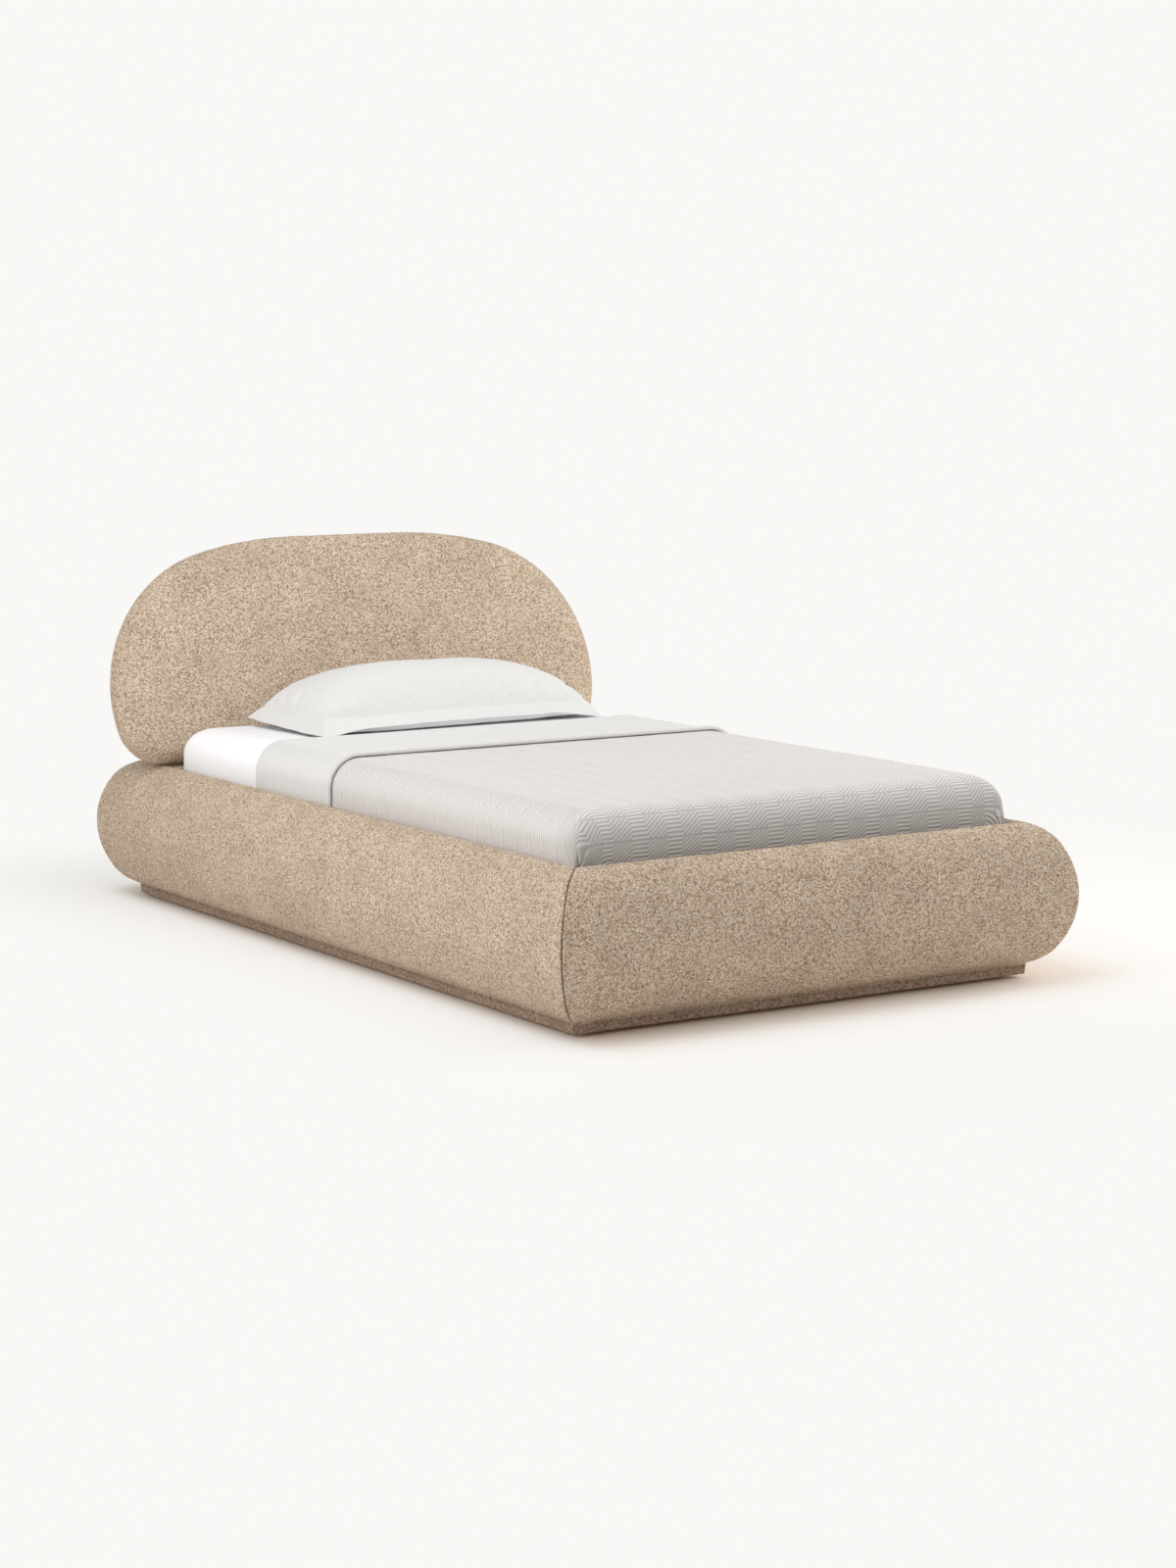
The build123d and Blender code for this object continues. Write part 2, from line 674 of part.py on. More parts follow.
def lean_point(up, back):
    """The y and z of a point so far up the headboard's middle plane and so far behind it."""
    y = headboard_middle_y + up * lean_sin + back * lean_cos
    z = headboard_middle_z + up * lean_cos - back * lean_sin
    return (y, z)


def headboard_outline(inset):
    """The oval outline with a flat bottom edge, moved inward by inset."""
    shoulder_y = headboard_rise - headboard_shoulder_radius
    shoulder_offset = headboard_shoulder_radius - headboard_side_radius
    side_centre = on_circle((0, shoulder_y), shoulder_offset, headboard_shoulder_end)
    shift = headboard_width / 2 - headboard_side_radius - side_centre[0]
    side_centre = (side_centre[0] + shift, side_centre[1])
    corner_y = headboard_corner_radius - headboard_drop
    corner_fall = side_centre[1] - corner_y
    corner_run = sqrt((headboard_side_radius - headboard_corner_radius) ** 2 - corner_fall**2)
    corner_centre = (side_centre[0] + corner_run, corner_y)
    corner_start = -degrees(atan2(corner_fall, corner_run))
    arcs = (
        ((shift, shoulder_y), headboard_shoulder_radius - inset, 90, headboard_shoulder_end),
        (side_centre, headboard_side_radius - inset, headboard_shoulder_end, corner_start),
        (corner_centre, headboard_corner_radius - inset, corner_start, -90),
    )
    with BuildSketch() as outline:
        with BuildLine():
            Line((-shift, headboard_rise - inset), (shift, headboard_rise - inset))
            Line((-corner_centre[0], inset - headboard_drop), (corner_centre[0], inset - headboard_drop))
            for hand in (-1, 1):
                for centre, radius, start, end in arcs:
                    points = [on_circle(centre, radius, angle) for angle in (start, (start + end) / 2, end)]
                    ThreePointArc(*[(hand * x, y) for x, y in points])
        make_face()
    return outline.sketch


def headboard_pad(inset):
    """The padded form with fully rounded edges, moved inward by inset."""
    outline = headboard_outline(inset)
    with BuildPart() as pad:
        with BuildSketch(headboard_plane):
            add(outline)
        extrude(amount=headboard_thickness / 2 - inset, both=True)
        flat_faces = pad.faces().sort_by(SortBy.AREA)[-2:]
        fillet(flat_faces.edges(), headboard_edge_radius - inset)
    return pad.part


headboard_leg_back = headboard_core_setback + headboard_core_thickness + headboard_leg_thickness
headboard_leg_front = headboard_core_setback + headboard_core_thickness
leg_front_y, leg_front_z = lean_point(-headboard_drop, headboard_leg_front)
leg_shoulder_z = turned_fabric_bottom - headboard_leg_shoulder_gap
leg_parts = []
for side, hand in (("left", -1), ("right", 1)):
    with BuildPart() as headboard_leg:
        with BuildSketch(Plane.YZ.offset(hand * headboard_leg_spacing / 2)):
            with BuildLine():
                Polyline(
                    (board_inner_y, plinth_top),
                    (board_inner_y, leg_shoulder_z),
                    lean_point(-headboard_drop, headboard_leg_back),
                    lean_point(headboard_leg_reach - headboard_drop, headboard_leg_back),
                    lean_point(headboard_leg_reach - headboard_drop, headboard_leg_front),
                    (leg_front_y, leg_front_z),
                    (leg_front_y, plinth_top),
                    close=True,
                )
            make_face()
        extrude(amount=headboard_leg_width / 2, both=True)
        with Locations(*leg_bolts(headboard_leg_bolt_land)):
            Cylinder(
                bolt_radius + bolt_hole_clearance,
                headboard_leg_bolt_land,
                align=(Align.CENTER, Align.CENTER, Align.MIN),
                mode=Mode.SUBTRACT,
            )
            Cylinder(
                bolt_head_radius + counterbore_clearance,
                board_inner_y - leg_front_y,
                align=(Align.CENTER, Align.CENTER, Align.MAX),
                mode=Mode.SUBTRACT,
            )
    leg_parts.append(headboard_leg.part)
    finish(headboard_leg.part, f"headboard_leg_{side}")

# Cross board behind the mattress, housed in the side boards, and the deck from it to the head rail
deck_fabric_top = rail_crest - head_deck_drop
deck_top = deck_fabric_top - fabric_thickness
deck_bottom = deck_top - head_deck_thickness
deck_half_width = plinth_width / 2 - rail_return - soft_gap
deck_back_y = plinth_length / 2 - rail_return - soft_gap
with BuildPart() as head_cross_board:
    with Locations((0, cross_board_middle_y, plinth_top)):
        Box(
            2 * (board_inner_x + cross_board_housing),
            rail_board_thickness,
            cross_board_shoulder - plinth_top,
            align=(Align.CENTER, Align.CENTER, Align.MIN),
        )
        Box(
            2 * deck_half_width,
            rail_board_thickness,
            deck_bottom - plinth_top,
            align=(Align.CENTER, Align.CENTER, Align.MIN),
        )
    with Locations(*hanger_bolts("head", 0)):
        Cylinder(
            bolt_radius + bolt_hole_clearance,
            bolt_grip + bolt_hole_clearance,
            align=(Align.CENTER, Align.CENTER, Align.MIN),
            mode=Mode.SUBTRACT,
        )
finish(head_cross_board.part, "head_cross_board")

slot_front_y = leg_front_y - leg_slot_clearance
slot_back_y = lean_point(-headboard_drop, headboard_leg_back)[0] + head_deck_thickness + leg_slot_clearance
leg_slots = [(hand * headboard_leg_spacing / 2, slot_front_y, 0) for hand in (-1, 1)]
slot_width = headboard_leg_width + 2 * leg_slot_clearance
deck_depth = deck_back_y - cross_board_front_y
with BuildPart() as head_deck:
    with Locations((0, cross_board_front_y, deck_bottom)):
        Box(2 * deck_half_width, deck_depth, head_deck_thickness, align=(Align.CENTER, Align.MIN, Align.MIN))
    with Locations((0, deck_back_y, deck_top)):
        Box(
            2 * deck_half_width,
            head_deck_thickness,
            head_deck_thickness + head_deck_rib_height,
            align=(Align.CENTER, Align.MAX, Align.MAX),
        )
    with Locations(*leg_slots):
        Box(
            slot_width,
            slot_back_y - slot_front_y,
            rail_height + rail_bulge,
            align=(Align.CENTER, Align.MIN, Align.MIN),
            mode=Mode.SUBTRACT,
        )
finish(head_deck.part, "head_deck")

with BuildPart() as head_deck_cover:
    with Locations((0, cross_board_front_y - fabric_thickness, deck_fabric_top)):
        Box(
            2 * deck_half_width,
            deck_depth + fabric_thickness,
            fabric_thickness,
            align=(Align.CENTER, Align.MIN, Align.MAX),
        )
        Box(2 * deck_half_width, fabric_thickness, head_deck_apron, align=(Align.CENTER, Align.MIN, Align.MAX))
    with Locations(*leg_slots):
        Box(
            slot_width,
            slot_back_y - slot_front_y,
            rail_height + rail_bulge,
            align=(Align.CENTER, Align.MIN, Align.MIN),
            mode=Mode.SUBTRACT,
        )
finish(head_deck_cover.part, "head_deck_cover")

core_outline = headboard_outline(headboard_core_inset)
with BuildPart() as headboard_core:
    with BuildSketch(headboard_plane.offset(-headboard_core_setback)):
        add(core_outline)
    extrude(amount=-headboard_core_thickness)
finish(headboard_core.part, "headboard_core")

pad_outside = headboard_pad(0)
pad_inside = headboard_pad(fabric_thickness)
with BuildPart() as headboard_foam:
    add(pad_inside)
    add(headboard_core.part, mode=Mode.SUBTRACT)
    add(leg_parts, mode=Mode.SUBTRACT)
finish(headboard_foam.part, "headboard_foam")

for cover_name, kept_side in (("front", Keep.TOP), ("back", Keep.BOTTOM)):
    with BuildPart() as headboard_cover:
        add(pad_outside)
        add(pad_inside, mode=Mode.SUBTRACT)
        split(bisect_by=headboard_plane, keep=kept_side)
        add(leg_parts, mode=Mode.SUBTRACT)
    finish(headboard_cover.part, f"headboard_cover_{cover_name}")


# Pillow. It lies on the sheet, turned a little, with its seam above its underside.
case_inner = soft_gap
case_outer = case_inner + pillowcase_thickness
pillow_seam_z = bedding_top + pillow_rest_gap + case_outer + pillow_belly
pillow_plane = Plane(
    origin=(pillow_middle_x, pillow_middle_y, pillow_seam_z),
    x_dir=(cos(radians(pillow_turn)), sin(radians(pillow_turn)), 0),
    z_dir=(0, 0, 1),
)


def pillow_form(grow):
    """The crowned pillow, thin at its ends and drawn in along its sides, grown by a distance."""
    sections = []
    for station, height, depth in zip(pillow_station_shares, pillow_height_shares, pillow_depth_shares):
        along = station * (pillow_width / 2 + grow)
        half_depth = depth * pillow_depth / 2 + grow
        crown = height * pillow_crown + grow
        belly = height * pillow_belly + grow
        flat = pillow_flat_share * half_depth
        under_x = flat + pillow_under_curve_shares[0] * (half_depth - flat)
        under_y = -pillow_under_curve_shares[1] * belly
        section_plane = Plane(
            origin=pillow_plane.from_local_coords((along, 0, 0)),
            x_dir=pillow_plane.y_dir,
            z_dir=pillow_plane.x_dir,
        )
        with BuildSketch(section_plane) as section:
            with BuildLine():
                Line((-flat, -belly), (flat, -belly))
                ThreePointArc((flat, -belly), (under_x, under_y), (half_depth, 0))
                ThreePointArc((half_depth, 0), (0, crown), (-half_depth, 0))
                ThreePointArc((-half_depth, 0), (-under_x, under_y), (-flat, -belly))
            make_face()
        sections.append(section.sketch)
    with BuildPart() as form:
        loft(sections)
    return form.part


filling_form = pillow_form(0)
case_outside = pillow_form(case_outer)
case_inside = pillow_form(case_inner)
with BuildPart() as pillow_filling:
    add(filling_form)
finish(pillow_filling.part, "pillow_filling")

flange_x = pillow_width / 2 + pillow_flange
flange_y = pillow_depth / 2 + pillow_flange
with BuildPart() as pillowcase:
    with BuildSketch(pillow_plane.offset(-pillow_flange_thickness / 2)):
        with BuildLine():
            for hand in (-1, 1):
                ThreePointArc(
                    (-flange_x, hand * flange_y),
                    (0, hand * (flange_y - pillow_flange_draw)),
                    (flange_x, hand * flange_y),
                )
                ThreePointArc(
                    (hand * flange_x, -flange_y),
                    (hand * (flange_x - pillow_flange_draw), 0),
                    (hand * flange_x, flange_y),
                )
        make_face()
    extrude(amount=pillow_flange_thickness)
    add(case_outside)
    add(case_inside, mode=Mode.SUBTRACT)
finish(pillowcase.part, "pillowcase")
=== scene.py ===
# %% [markdown]
# # An upholstered single bed with a leaning oval headboard
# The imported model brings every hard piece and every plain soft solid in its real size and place. This
# notebook dresses it: rails and headboard in looped boucle, a ribbed coverlet, a fitted sheet and a pillow.
# We load the frame first, because every soft piece takes its place from it.

from math import atan2, cos, pi, radians, sin, sqrt

import bmesh
import bpy
import numpy as np
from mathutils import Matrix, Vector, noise


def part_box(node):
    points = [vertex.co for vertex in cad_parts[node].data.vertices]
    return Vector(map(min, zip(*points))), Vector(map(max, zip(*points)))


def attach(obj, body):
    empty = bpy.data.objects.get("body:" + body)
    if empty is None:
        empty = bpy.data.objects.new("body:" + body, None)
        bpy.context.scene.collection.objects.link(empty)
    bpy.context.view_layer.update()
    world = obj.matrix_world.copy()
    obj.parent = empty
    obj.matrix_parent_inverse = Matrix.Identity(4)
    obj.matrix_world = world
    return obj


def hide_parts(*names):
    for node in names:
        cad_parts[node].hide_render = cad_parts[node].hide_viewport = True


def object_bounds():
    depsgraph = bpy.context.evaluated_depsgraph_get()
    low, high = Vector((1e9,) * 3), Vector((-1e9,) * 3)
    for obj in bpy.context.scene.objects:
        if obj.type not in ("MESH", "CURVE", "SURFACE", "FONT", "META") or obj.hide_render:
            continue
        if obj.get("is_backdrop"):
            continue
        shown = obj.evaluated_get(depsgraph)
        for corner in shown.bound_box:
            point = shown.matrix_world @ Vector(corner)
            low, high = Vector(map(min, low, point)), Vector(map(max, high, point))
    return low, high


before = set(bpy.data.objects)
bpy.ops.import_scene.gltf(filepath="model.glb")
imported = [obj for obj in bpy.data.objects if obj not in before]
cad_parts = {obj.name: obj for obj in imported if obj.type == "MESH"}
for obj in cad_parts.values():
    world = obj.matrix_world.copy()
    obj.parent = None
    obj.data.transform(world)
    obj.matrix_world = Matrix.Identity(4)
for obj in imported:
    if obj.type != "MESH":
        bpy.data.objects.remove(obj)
cad_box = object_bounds()
mm = 0.001

# %% [markdown]
# A finish could be a photograph of the cloth wrapped round the piece, but that shows seams and a fixed grain.
# Here each finish is a small node tree, which is sharp at any distance and has its pattern's real size. One
# function adds a node with its settings and its inputs: a number, a colour, an earlier node, whose first
# output is then linked, or one of an earlier node's other outputs. A second one turns the sRGB hex value
# that a swatch card gives into the linear colour that a shader works in.

# %% Small helpers for finishes
def linear(swatch):
    """The linear colour of an sRGB hex value."""
    shares = [int(swatch[i : i + 2], 16) / 255 for i in (1, 3, 5)]
    return tuple(s / 12.92 if s <= 0.04045 else ((s + 0.055) / 1.055) ** 2.4 for s in shares) + (1.0,)


def add_node(tree, kind, inputs=None, **settings):
    """Adds one node, sets its properties, then fills or links its inputs."""
    made = tree.nodes.new("ShaderNode" + kind)
    for name, value in settings.items():
        setattr(made, name, value)
    for socket, value in (inputs or {}).items():
        if isinstance(value, bpy.types.Node):
            value = value.outputs[0]
        if isinstance(value, bpy.types.NodeSocket):
            tree.links.new(value, made.inputs[socket])
        else:
            made.inputs[socket].default_value = value
    return made


def new_material(name):
    """An empty material and its node tree."""
    made = bpy.data.materials.new(name)
    made.use_nodes = True
    made.node_tree.nodes.clear()
    return made, made.node_tree


def close_material(tree, shader_inputs):
    """Ends a tree with a Principled shader and the output."""
    add_node(tree, "OutputMaterial", {"Surface": add_node(tree, "BsdfPrincipled", shader_inputs)})


def set_ramp(ramp, stops):
    """Sets a colour ramp's stops from pairs of a position and a swatch."""
    elements = ramp.color_ramp.elements
    while len(elements) < len(stops):
        elements.new(1.0)
    for element, (position, swatch) in zip(elements, stops):
        element.position = position
        element.color = linear(swatch)


print("material helpers ready")

# %% [markdown]
# Boucle is woven from a looped, knotted yarn. Its loops are 3 to 4 mm across, each a slightly different
# undyed shade, from cream through sand to rust brown. The gaps between the loops get painted shade: their
# colour is darker. Loops could be modelled one by one, but the bed has over half a million of them. A Voronoi
# pattern gives one cell per loop instead: its random colour picks the shade, its distance gives the round
# bump and the painted shade in the gaps.
# Wool scatters light softly, so the surface is rough, with a little sheen and no gloss. The plinth lies in
# the shade under the rails, so its cloth gets its own darker, warmer shades: painted shade.

# %% Boucle upholstery
loop_size = 3.4 * mm
curl_size = 1.5 * mm
curl_share = 0.42  # of a curl's shade in the colour, against the loop's
yarn_wander = 2.2 * mm
brushed_size = 110 * mm
brushed_tones = (0.93, 1.07)
# painted shade: how much darker the colour is between the loops
gap_painted_shade = 0.66  # between the loops, of the tone on them
boucle_depth = 2.2 * mm
boucle_shades = ((0.11, "#8A6548"), (0.29, "#CDAB8C"), (0.52, "#EAD4BB"), (0.85, "#FFF4E2"))
# Painted shade: darker, warmer swatches for the plinth, which lies in the rails' shade.
plinth_painted_shade_swatches = ((0.11, "#6B4C3C"), (0.29, "#A38570"), (0.52, "#C2A894"), (0.85, "#DBC8B8"))


def looped_boucle(name, shades):
    """Looped wool in four shades, darker between its loops."""
    made, tree = new_material(name)
    place = add_node(tree, "TexCoord").outputs["Object"]
    wander = add_node(tree, "TexNoise", {"Vector": place, "Scale": 1 / loop_size, "Detail": 1.0})
    bend = {0: yarn_wander, 1: place, 2: wander.outputs["Color"]}
    bent = add_node(tree, "MixRGB", bend, blend_type="ADD")
    loops = add_node(tree, "TexVoronoi", {"Vector": bent, "Scale": 1 / loop_size})
    curls = add_node(tree, "TexVoronoi", {"Vector": bent, "Scale": 1 / curl_size})
    brushed = add_node(tree, "TexNoise", {"Vector": place, "Scale": 1 / brushed_size, "Detail": 2.0})
    loop_pick = add_node(tree, "SeparateColor", {0: loops.outputs["Color"]})
    curl_pick = add_node(tree, "SeparateColor", {0: curls.outputs["Color"]})
    mixed = add_node(tree, "Mix", {0: curl_share, 2: loop_pick, 3: curl_pick})
    shade = add_node(tree, "ValToRGB", {0: mixed})
    set_ramp(shade, shades)
    cloud = add_node(tree, "MapRange", {0: brushed, 1: 0.3, 2: 0.7, 3: brushed_tones[0], 4: brushed_tones[1]})
    # Painted shade: the gaps between the loops are darkened in colour.
    gap = add_node(tree, "MapRange", {0: loops, 1: 0.35, 2: 0.85, 3: 1.0, 4: gap_painted_shade})
    tone = add_node(tree, "Math", {0: cloud, 1: gap}, operation="MULTIPLY")
    height = add_node(tree, "Math", {0: loops, 1: curls}, operation="ADD")
    bump = {"Strength": 0.95, "Distance": boucle_depth, "Height": height}
    relief = add_node(tree, "Bump", bump, invert=True)
    close_material(
        tree,
        {
            "Base Color": add_node(tree, "VectorMath", {0: shade, "Scale": tone}, operation="SCALE"),
            "Roughness": 0.95,
            "Specular IOR Level": 0.2,
            "Sheen Weight": 0.15,
            "Sheen Roughness": 0.5,
            "Sheen Tint": linear("#F3DCC4"),
            "Normal": relief,
        },
    )
    return made


boucle = looped_boucle("woven_wool_boucle", boucle_shades)
shaded_plinth_boucle = looped_boucle("woven_wool_boucle_painted_shade", plinth_painted_shade_swatches)
print("boucle loops", round(loop_size / mm, 1), "mm")

# %% [markdown]
# The sheet is plain cotton percale, the pillowcase a washed cotton and the mattress a knitted ticking. All
# are matt white cloths. Their threads are far finer than a pixel, so a true weave would be lost, and a flat
# white would look like plaster. The weave is therefore drawn at 1.5 mm or more, coarse enough to soften the
# light, and a broad, weak noise stands for the creases that washing leaves.

# %% Cotton for the sheet, the pillowcase and the mattress
cotton_tones = (0.975, 1.02)
thread_relief = 0.15
crease_relief = 0.6


def woven_cotton(name, swatch, thread, crease, crease_depth):
    """Plain matt cloth with a faint weave, slubs and soft creases."""
    made, tree = new_material(name)
    place = add_node(tree, "TexCoord").outputs["Object"]
    scaled = add_node(tree, "VectorMath", {0: place, "Scale": 1 / thread}, operation="SCALE")
    weave = add_node(tree, "TexChecker", {"Vector": scaled, "Scale": 1.0})
    creases = add_node(tree, "TexNoise", {"Vector": place, "Scale": 1 / crease, "Detail": 4.0})
    slub = add_node(tree, "TexNoise", {"Vector": place, "Scale": 1 / (3 * thread), "Detail": 2.0})
    tone = add_node(tree, "MapRange", {0: slub, 1: 0.25, 2: 0.75, 3: cotton_tones[0], 4: cotton_tones[1]})
    threads = {"Strength": thread_relief, "Distance": thread / 8, "Height": weave.outputs["Fac"]}
    folds = {"Strength": crease_relief, "Distance": crease_depth, "Height": creases}
    folds["Normal"] = add_node(tree, "Bump", threads)
    white = {0: linear(swatch)[:3], "Scale": tone}
    close_material(
        tree,
        {
            "Base Color": add_node(tree, "VectorMath", white, operation="SCALE"),
            "Roughness": 0.9,
            "Specular IOR Level": 0.25,
            "Sheen Weight": 0.15,
            "Sheen Roughness": 0.4,
            "Normal": add_node(tree, "Bump", folds),
        },
    )
    return made


# thread, crease size, crease depth
percale = woven_cotton("white_cotton_percale", "#F8F9FC", 1.5 * mm, 90 * mm, 4 * mm)
washed_cotton = woven_cotton("washed_cotton", "#DCDCDB", 1.8 * mm, 45 * mm, 2.5 * mm)
ticking = woven_cotton("knitted_mattress_ticking", "#E9E8E4", 4 * mm, 60 * mm, 2 * mm)
print("cotton finishes ready")

# %% [markdown]
# The coverlet is a matelasse: two cotton layers woven together so that fine ribs stand up across the
# bed. At regular steps the ribs climb a slant for about 4 cm and run on level, which gives a stepped
# pattern. Ribs could be part of the mesh, but a bump is enough for a relief of 2 mm. The real ones lie about
# 6 mm apart. They are drawn wider here, because the finer slants are lost between the pixels of a picture.
# A rib is one wave of a sine. Adding a slanting ramp to the place along the cloth makes the waves climb.

# %% Ribs in steps
rib_pitch = 9.6 * mm
step_period = 92 * mm
step_ribs = 4  # how many ribs a slant climbs
step_flat_share = 0.42
row_height = 58 * mm
row_stepped_share = 0.86
twill_pitch = 6 * mm


def crests(tree, turns):
    """A wave from 0 to 1 with one crest for every whole turn."""
    angle = add_node(tree, "Math", {0: turns, 1: 2 * pi}, operation="MULTIPLY")
    wave = add_node(tree, "Math", {0: angle}, operation="SINE")
    return add_node(tree, "Math", {0: wave, 1: 0.5, 2: 0.5}, operation="MULTIPLY_ADD")


def rib_height(tree, across, along):
    """A wave with one crest per rib, stepped in slants."""
    steps = add_node(tree, "Math", {0: across, 1: step_period}, operation="DIVIDE")
    column = add_node(tree, "Math", {0: steps}, operation="FRACT")
    ramp = add_node(tree, "MapRange", {0: column, 1: step_flat_share, 2: 1.0, 3: step_ribs, 4: 0.0})
    rows = add_node(tree, "Math", {0: along, 1: row_height}, operation="DIVIDE")
    row = add_node(tree, "Math", {0: rows}, operation="FRACT")
    stepped = add_node(tree, "Math", {0: row, 1: row_stepped_share}, operation="LESS_THAN")
    climb = add_node(tree, "Math", {0: ramp, 1: stepped}, operation="MULTIPLY")
    ribs = add_node(tree, "Math", {0: along, 1: rib_pitch}, operation="DIVIDE")
    return crests(tree, add_node(tree, "Math", {0: ribs, 1: climb}, operation="ADD"))


def twill_height(tree, across, along):
    """A wave that runs slantwise, as the threads of a rolled hem do."""
    slant = add_node(tree, "Math", {0: across, 1: along}, operation="ADD")
    return crests(tree, add_node(tree, "Math", {0: slant, 1: twill_pitch}, operation="DIVIDE"))


print("ribs", round(rib_pitch / mm, 1), "mm apart, slants", round(step_period / mm), "mm apart")

# %% [markdown]
# The ribs follow the cloth and not the room, so the pattern is drawn in the cloth's own measure, which the
# mesh carries as its UV map in metres. On top the ribs are shallower and their grooves' painted shade is
# lighter; down the foot the ribs are deeper and the whole face gets painted shade, a darker colour.
# The turned-back band shows the cloth's other side, which is smoother, and its hem is a rolled twill. Two
# materials could meet at the fold, but one that knows its place along the cloth needs no cut in the mesh.

# %% Ribbed coverlet cloth
flat_rib_depth = 1.6 * mm  # on top, where the cloth lies smooth
rib_depth = 2.8 * mm
turned_rib_depth = 1.2 * mm
# painted shade in the ribs' grooves, and painted light on their crests
flat_groove_painted_shade = 0.74  # colour in the grooves, of the colour on the ribs
groove_painted_shade = 0.68
turned_groove_painted_shade = 0.90
crest_painted_light = 1.06
painted_foot_shade = 0.83  # painted shade down the foot face, which gets less of the light from above
foot_edge = -1025 * mm  # along the cloth
foot_edge_width = 70 * mm
rib_wander = 0.7 * mm
rib_wander_size = 30 * mm
slub_size = 4 * mm
slub_tones = (0.97, 1.03)
rib_relief = 0.8
turned_from = 460 * mm  # along the cloth, from the middle of the bed
hem_from = 860 * mm


def by_place(tree, foot_face_share, turned, on_top, down_foot, turned_back):
    """A value that differs between the top, the foot and the turned-back band."""
    laid = add_node(tree, "MapRange", {0: foot_face_share, 3: on_top, 4: down_foot})
    return add_node(tree, "MapRange", {0: turned, 3: laid, 4: turned_back})


def ribbed_matelasse(name, swatch, turned_swatch):
    """Ribbed cloth with its smoother other side on the turned-back band."""
    made, tree = new_material(name)
    place = add_node(tree, "TexCoord").outputs["Object"]
    wander = add_node(tree, "TexNoise", {"Vector": place, "Scale": 1 / rib_wander_size, "Detail": 2.0})
    bend = {0: rib_wander, 1: add_node(tree, "UVMap", uv_map="cloth"), 2: wander.outputs["Color"]}
    cloth = add_node(tree, "SeparateXYZ", {0: add_node(tree, "MixRGB", bend, blend_type="ADD")}).outputs
    across, along = cloth[0], cloth[1]
    turned = add_node(tree, "Math", {0: along, 1: turned_from}, operation="GREATER_THAN")
    hem = add_node(tree, "Math", {0: along, 1: hem_from}, operation="GREATER_THAN")
    foot_face_share = add_node(tree, "MapRange", {0: along, 1: foot_edge, 2: foot_edge - foot_edge_width})
    ribs, twill = rib_height(tree, across, along), twill_height(tree, across, along)
    height = add_node(tree, "Mix", {0: hem, 2: ribs, 3: twill})
    depth = by_place(tree, foot_face_share, turned, flat_rib_depth, rib_depth, turned_rib_depth)
    groove_shade_by_place = by_place(tree, foot_face_share, turned, flat_groove_painted_shade, groove_painted_shade, turned_groove_painted_shade)
    # Painted shade and light on the ribs: the grooves darker, the crests a little lighter.
    lit = add_node(tree, "MapRange", {0: height, 3: groove_shade_by_place, 4: crest_painted_light})
    # Painted shade: the foot face's colour is darkened, as it gets less of the light from above.
    foot_shading = add_node(tree, "MapRange", {0: foot_face_share, 3: 1.0, 4: painted_foot_shade})
    slub = add_node(tree, "TexNoise", {"Vector": place, "Scale": 1 / slub_size, "Detail": 2.0})
    worn = add_node(tree, "MapRange", {0: slub, 1: 0.25, 2: 0.75, 3: slub_tones[0], 4: slub_tones[1]})
    foot_shaded = add_node(tree, "Math", {0: lit, 1: foot_shading}, operation="MULTIPLY")
    tone = add_node(tree, "Math", {0: foot_shaded, 1: worn}, operation="MULTIPLY")
    shade = add_node(tree, "MixRGB", {0: turned, 1: linear(swatch), 2: linear(turned_swatch)})
    relief = {"Strength": rib_relief, "Distance": depth, "Height": height}
    close_material(
        tree,
        {
            "Base Color": add_node(tree, "VectorMath", {0: shade, "Scale": tone}, operation="SCALE"),
            "Roughness": 0.88,
            "Specular IOR Level": 0.25,
            "Sheen Weight": 0.3,
            "Sheen Roughness": 0.4,
            "Normal": add_node(tree, "Bump", relief),
        },
    )
    return made


matelasse = ribbed_matelasse("ribbed_cotton_matelasse", "#E1DDDB", "#DFDEDD")
print(matelasse.name, len(matelasse.node_tree.nodes), "nodes")

# %% [markdown]
# Inside the bed are working woods: birch plywood boards, pine battens, bent beech slats. They show from
# below and behind. Growth rings would need rings drawn round each piece's own heart. On planed boards they
# read as long streaks, so one noise stretched along the grain is enough.

# %% Wood
grain_width = 5 * mm
grain_length = 160 * mm
grain_depth = 0.3 * mm


def planed_wood(name, light, dark, along):
    """Wood whose grain runs along one axis: 0 for x, 1 for y, 2 for z."""
    made, tree = new_material(name)
    place = add_node(tree, "TexCoord").outputs["Object"]
    scale = [1 / grain_width] * 3
    scale[along] = 1 / grain_length
    stretched = add_node(tree, "Mapping", {"Vector": place, "Scale": scale}, vector_type="POINT")
    grain = add_node(tree, "TexNoise", {"Vector": stretched, "Scale": 1.0, "Detail": 5.0})
    shade = add_node(tree, "ValToRGB", {0: grain})
    set_ramp(shade, ((0.3, dark), (0.65, light)))
    relief = add_node(tree, "Bump", {"Strength": 0.3, "Distance": grain_depth, "Height": grain})
    close_material(tree, {"Base Color": shade, "Roughness": 0.62, "IOR": 1.5, "Normal": relief})
    return made


birch_swatches = ("#D9BC93", "#BE9A6C")
pine_swatches = ("#E3C391", "#C99F66")
beech_swatches = ("#D8AE84", "#BE9066")
lengthwise_birch = planed_wood("birch_plywood_lengthwise", *birch_swatches, 1)
crosswise_birch = planed_wood("birch_plywood_crosswise", *birch_swatches, 0)
pine = planed_wood("planed_pine", *pine_swatches, 1)
upright_pine = planed_wood("planed_pine_upright", *pine_swatches, 2)
beech = planed_wood("bent_beech", *beech_swatches, 0)
upright_beech = planed_wood("beech_upright", *beech_swatches, 2)
print("wood grain", round(grain_length / mm), "mm long")

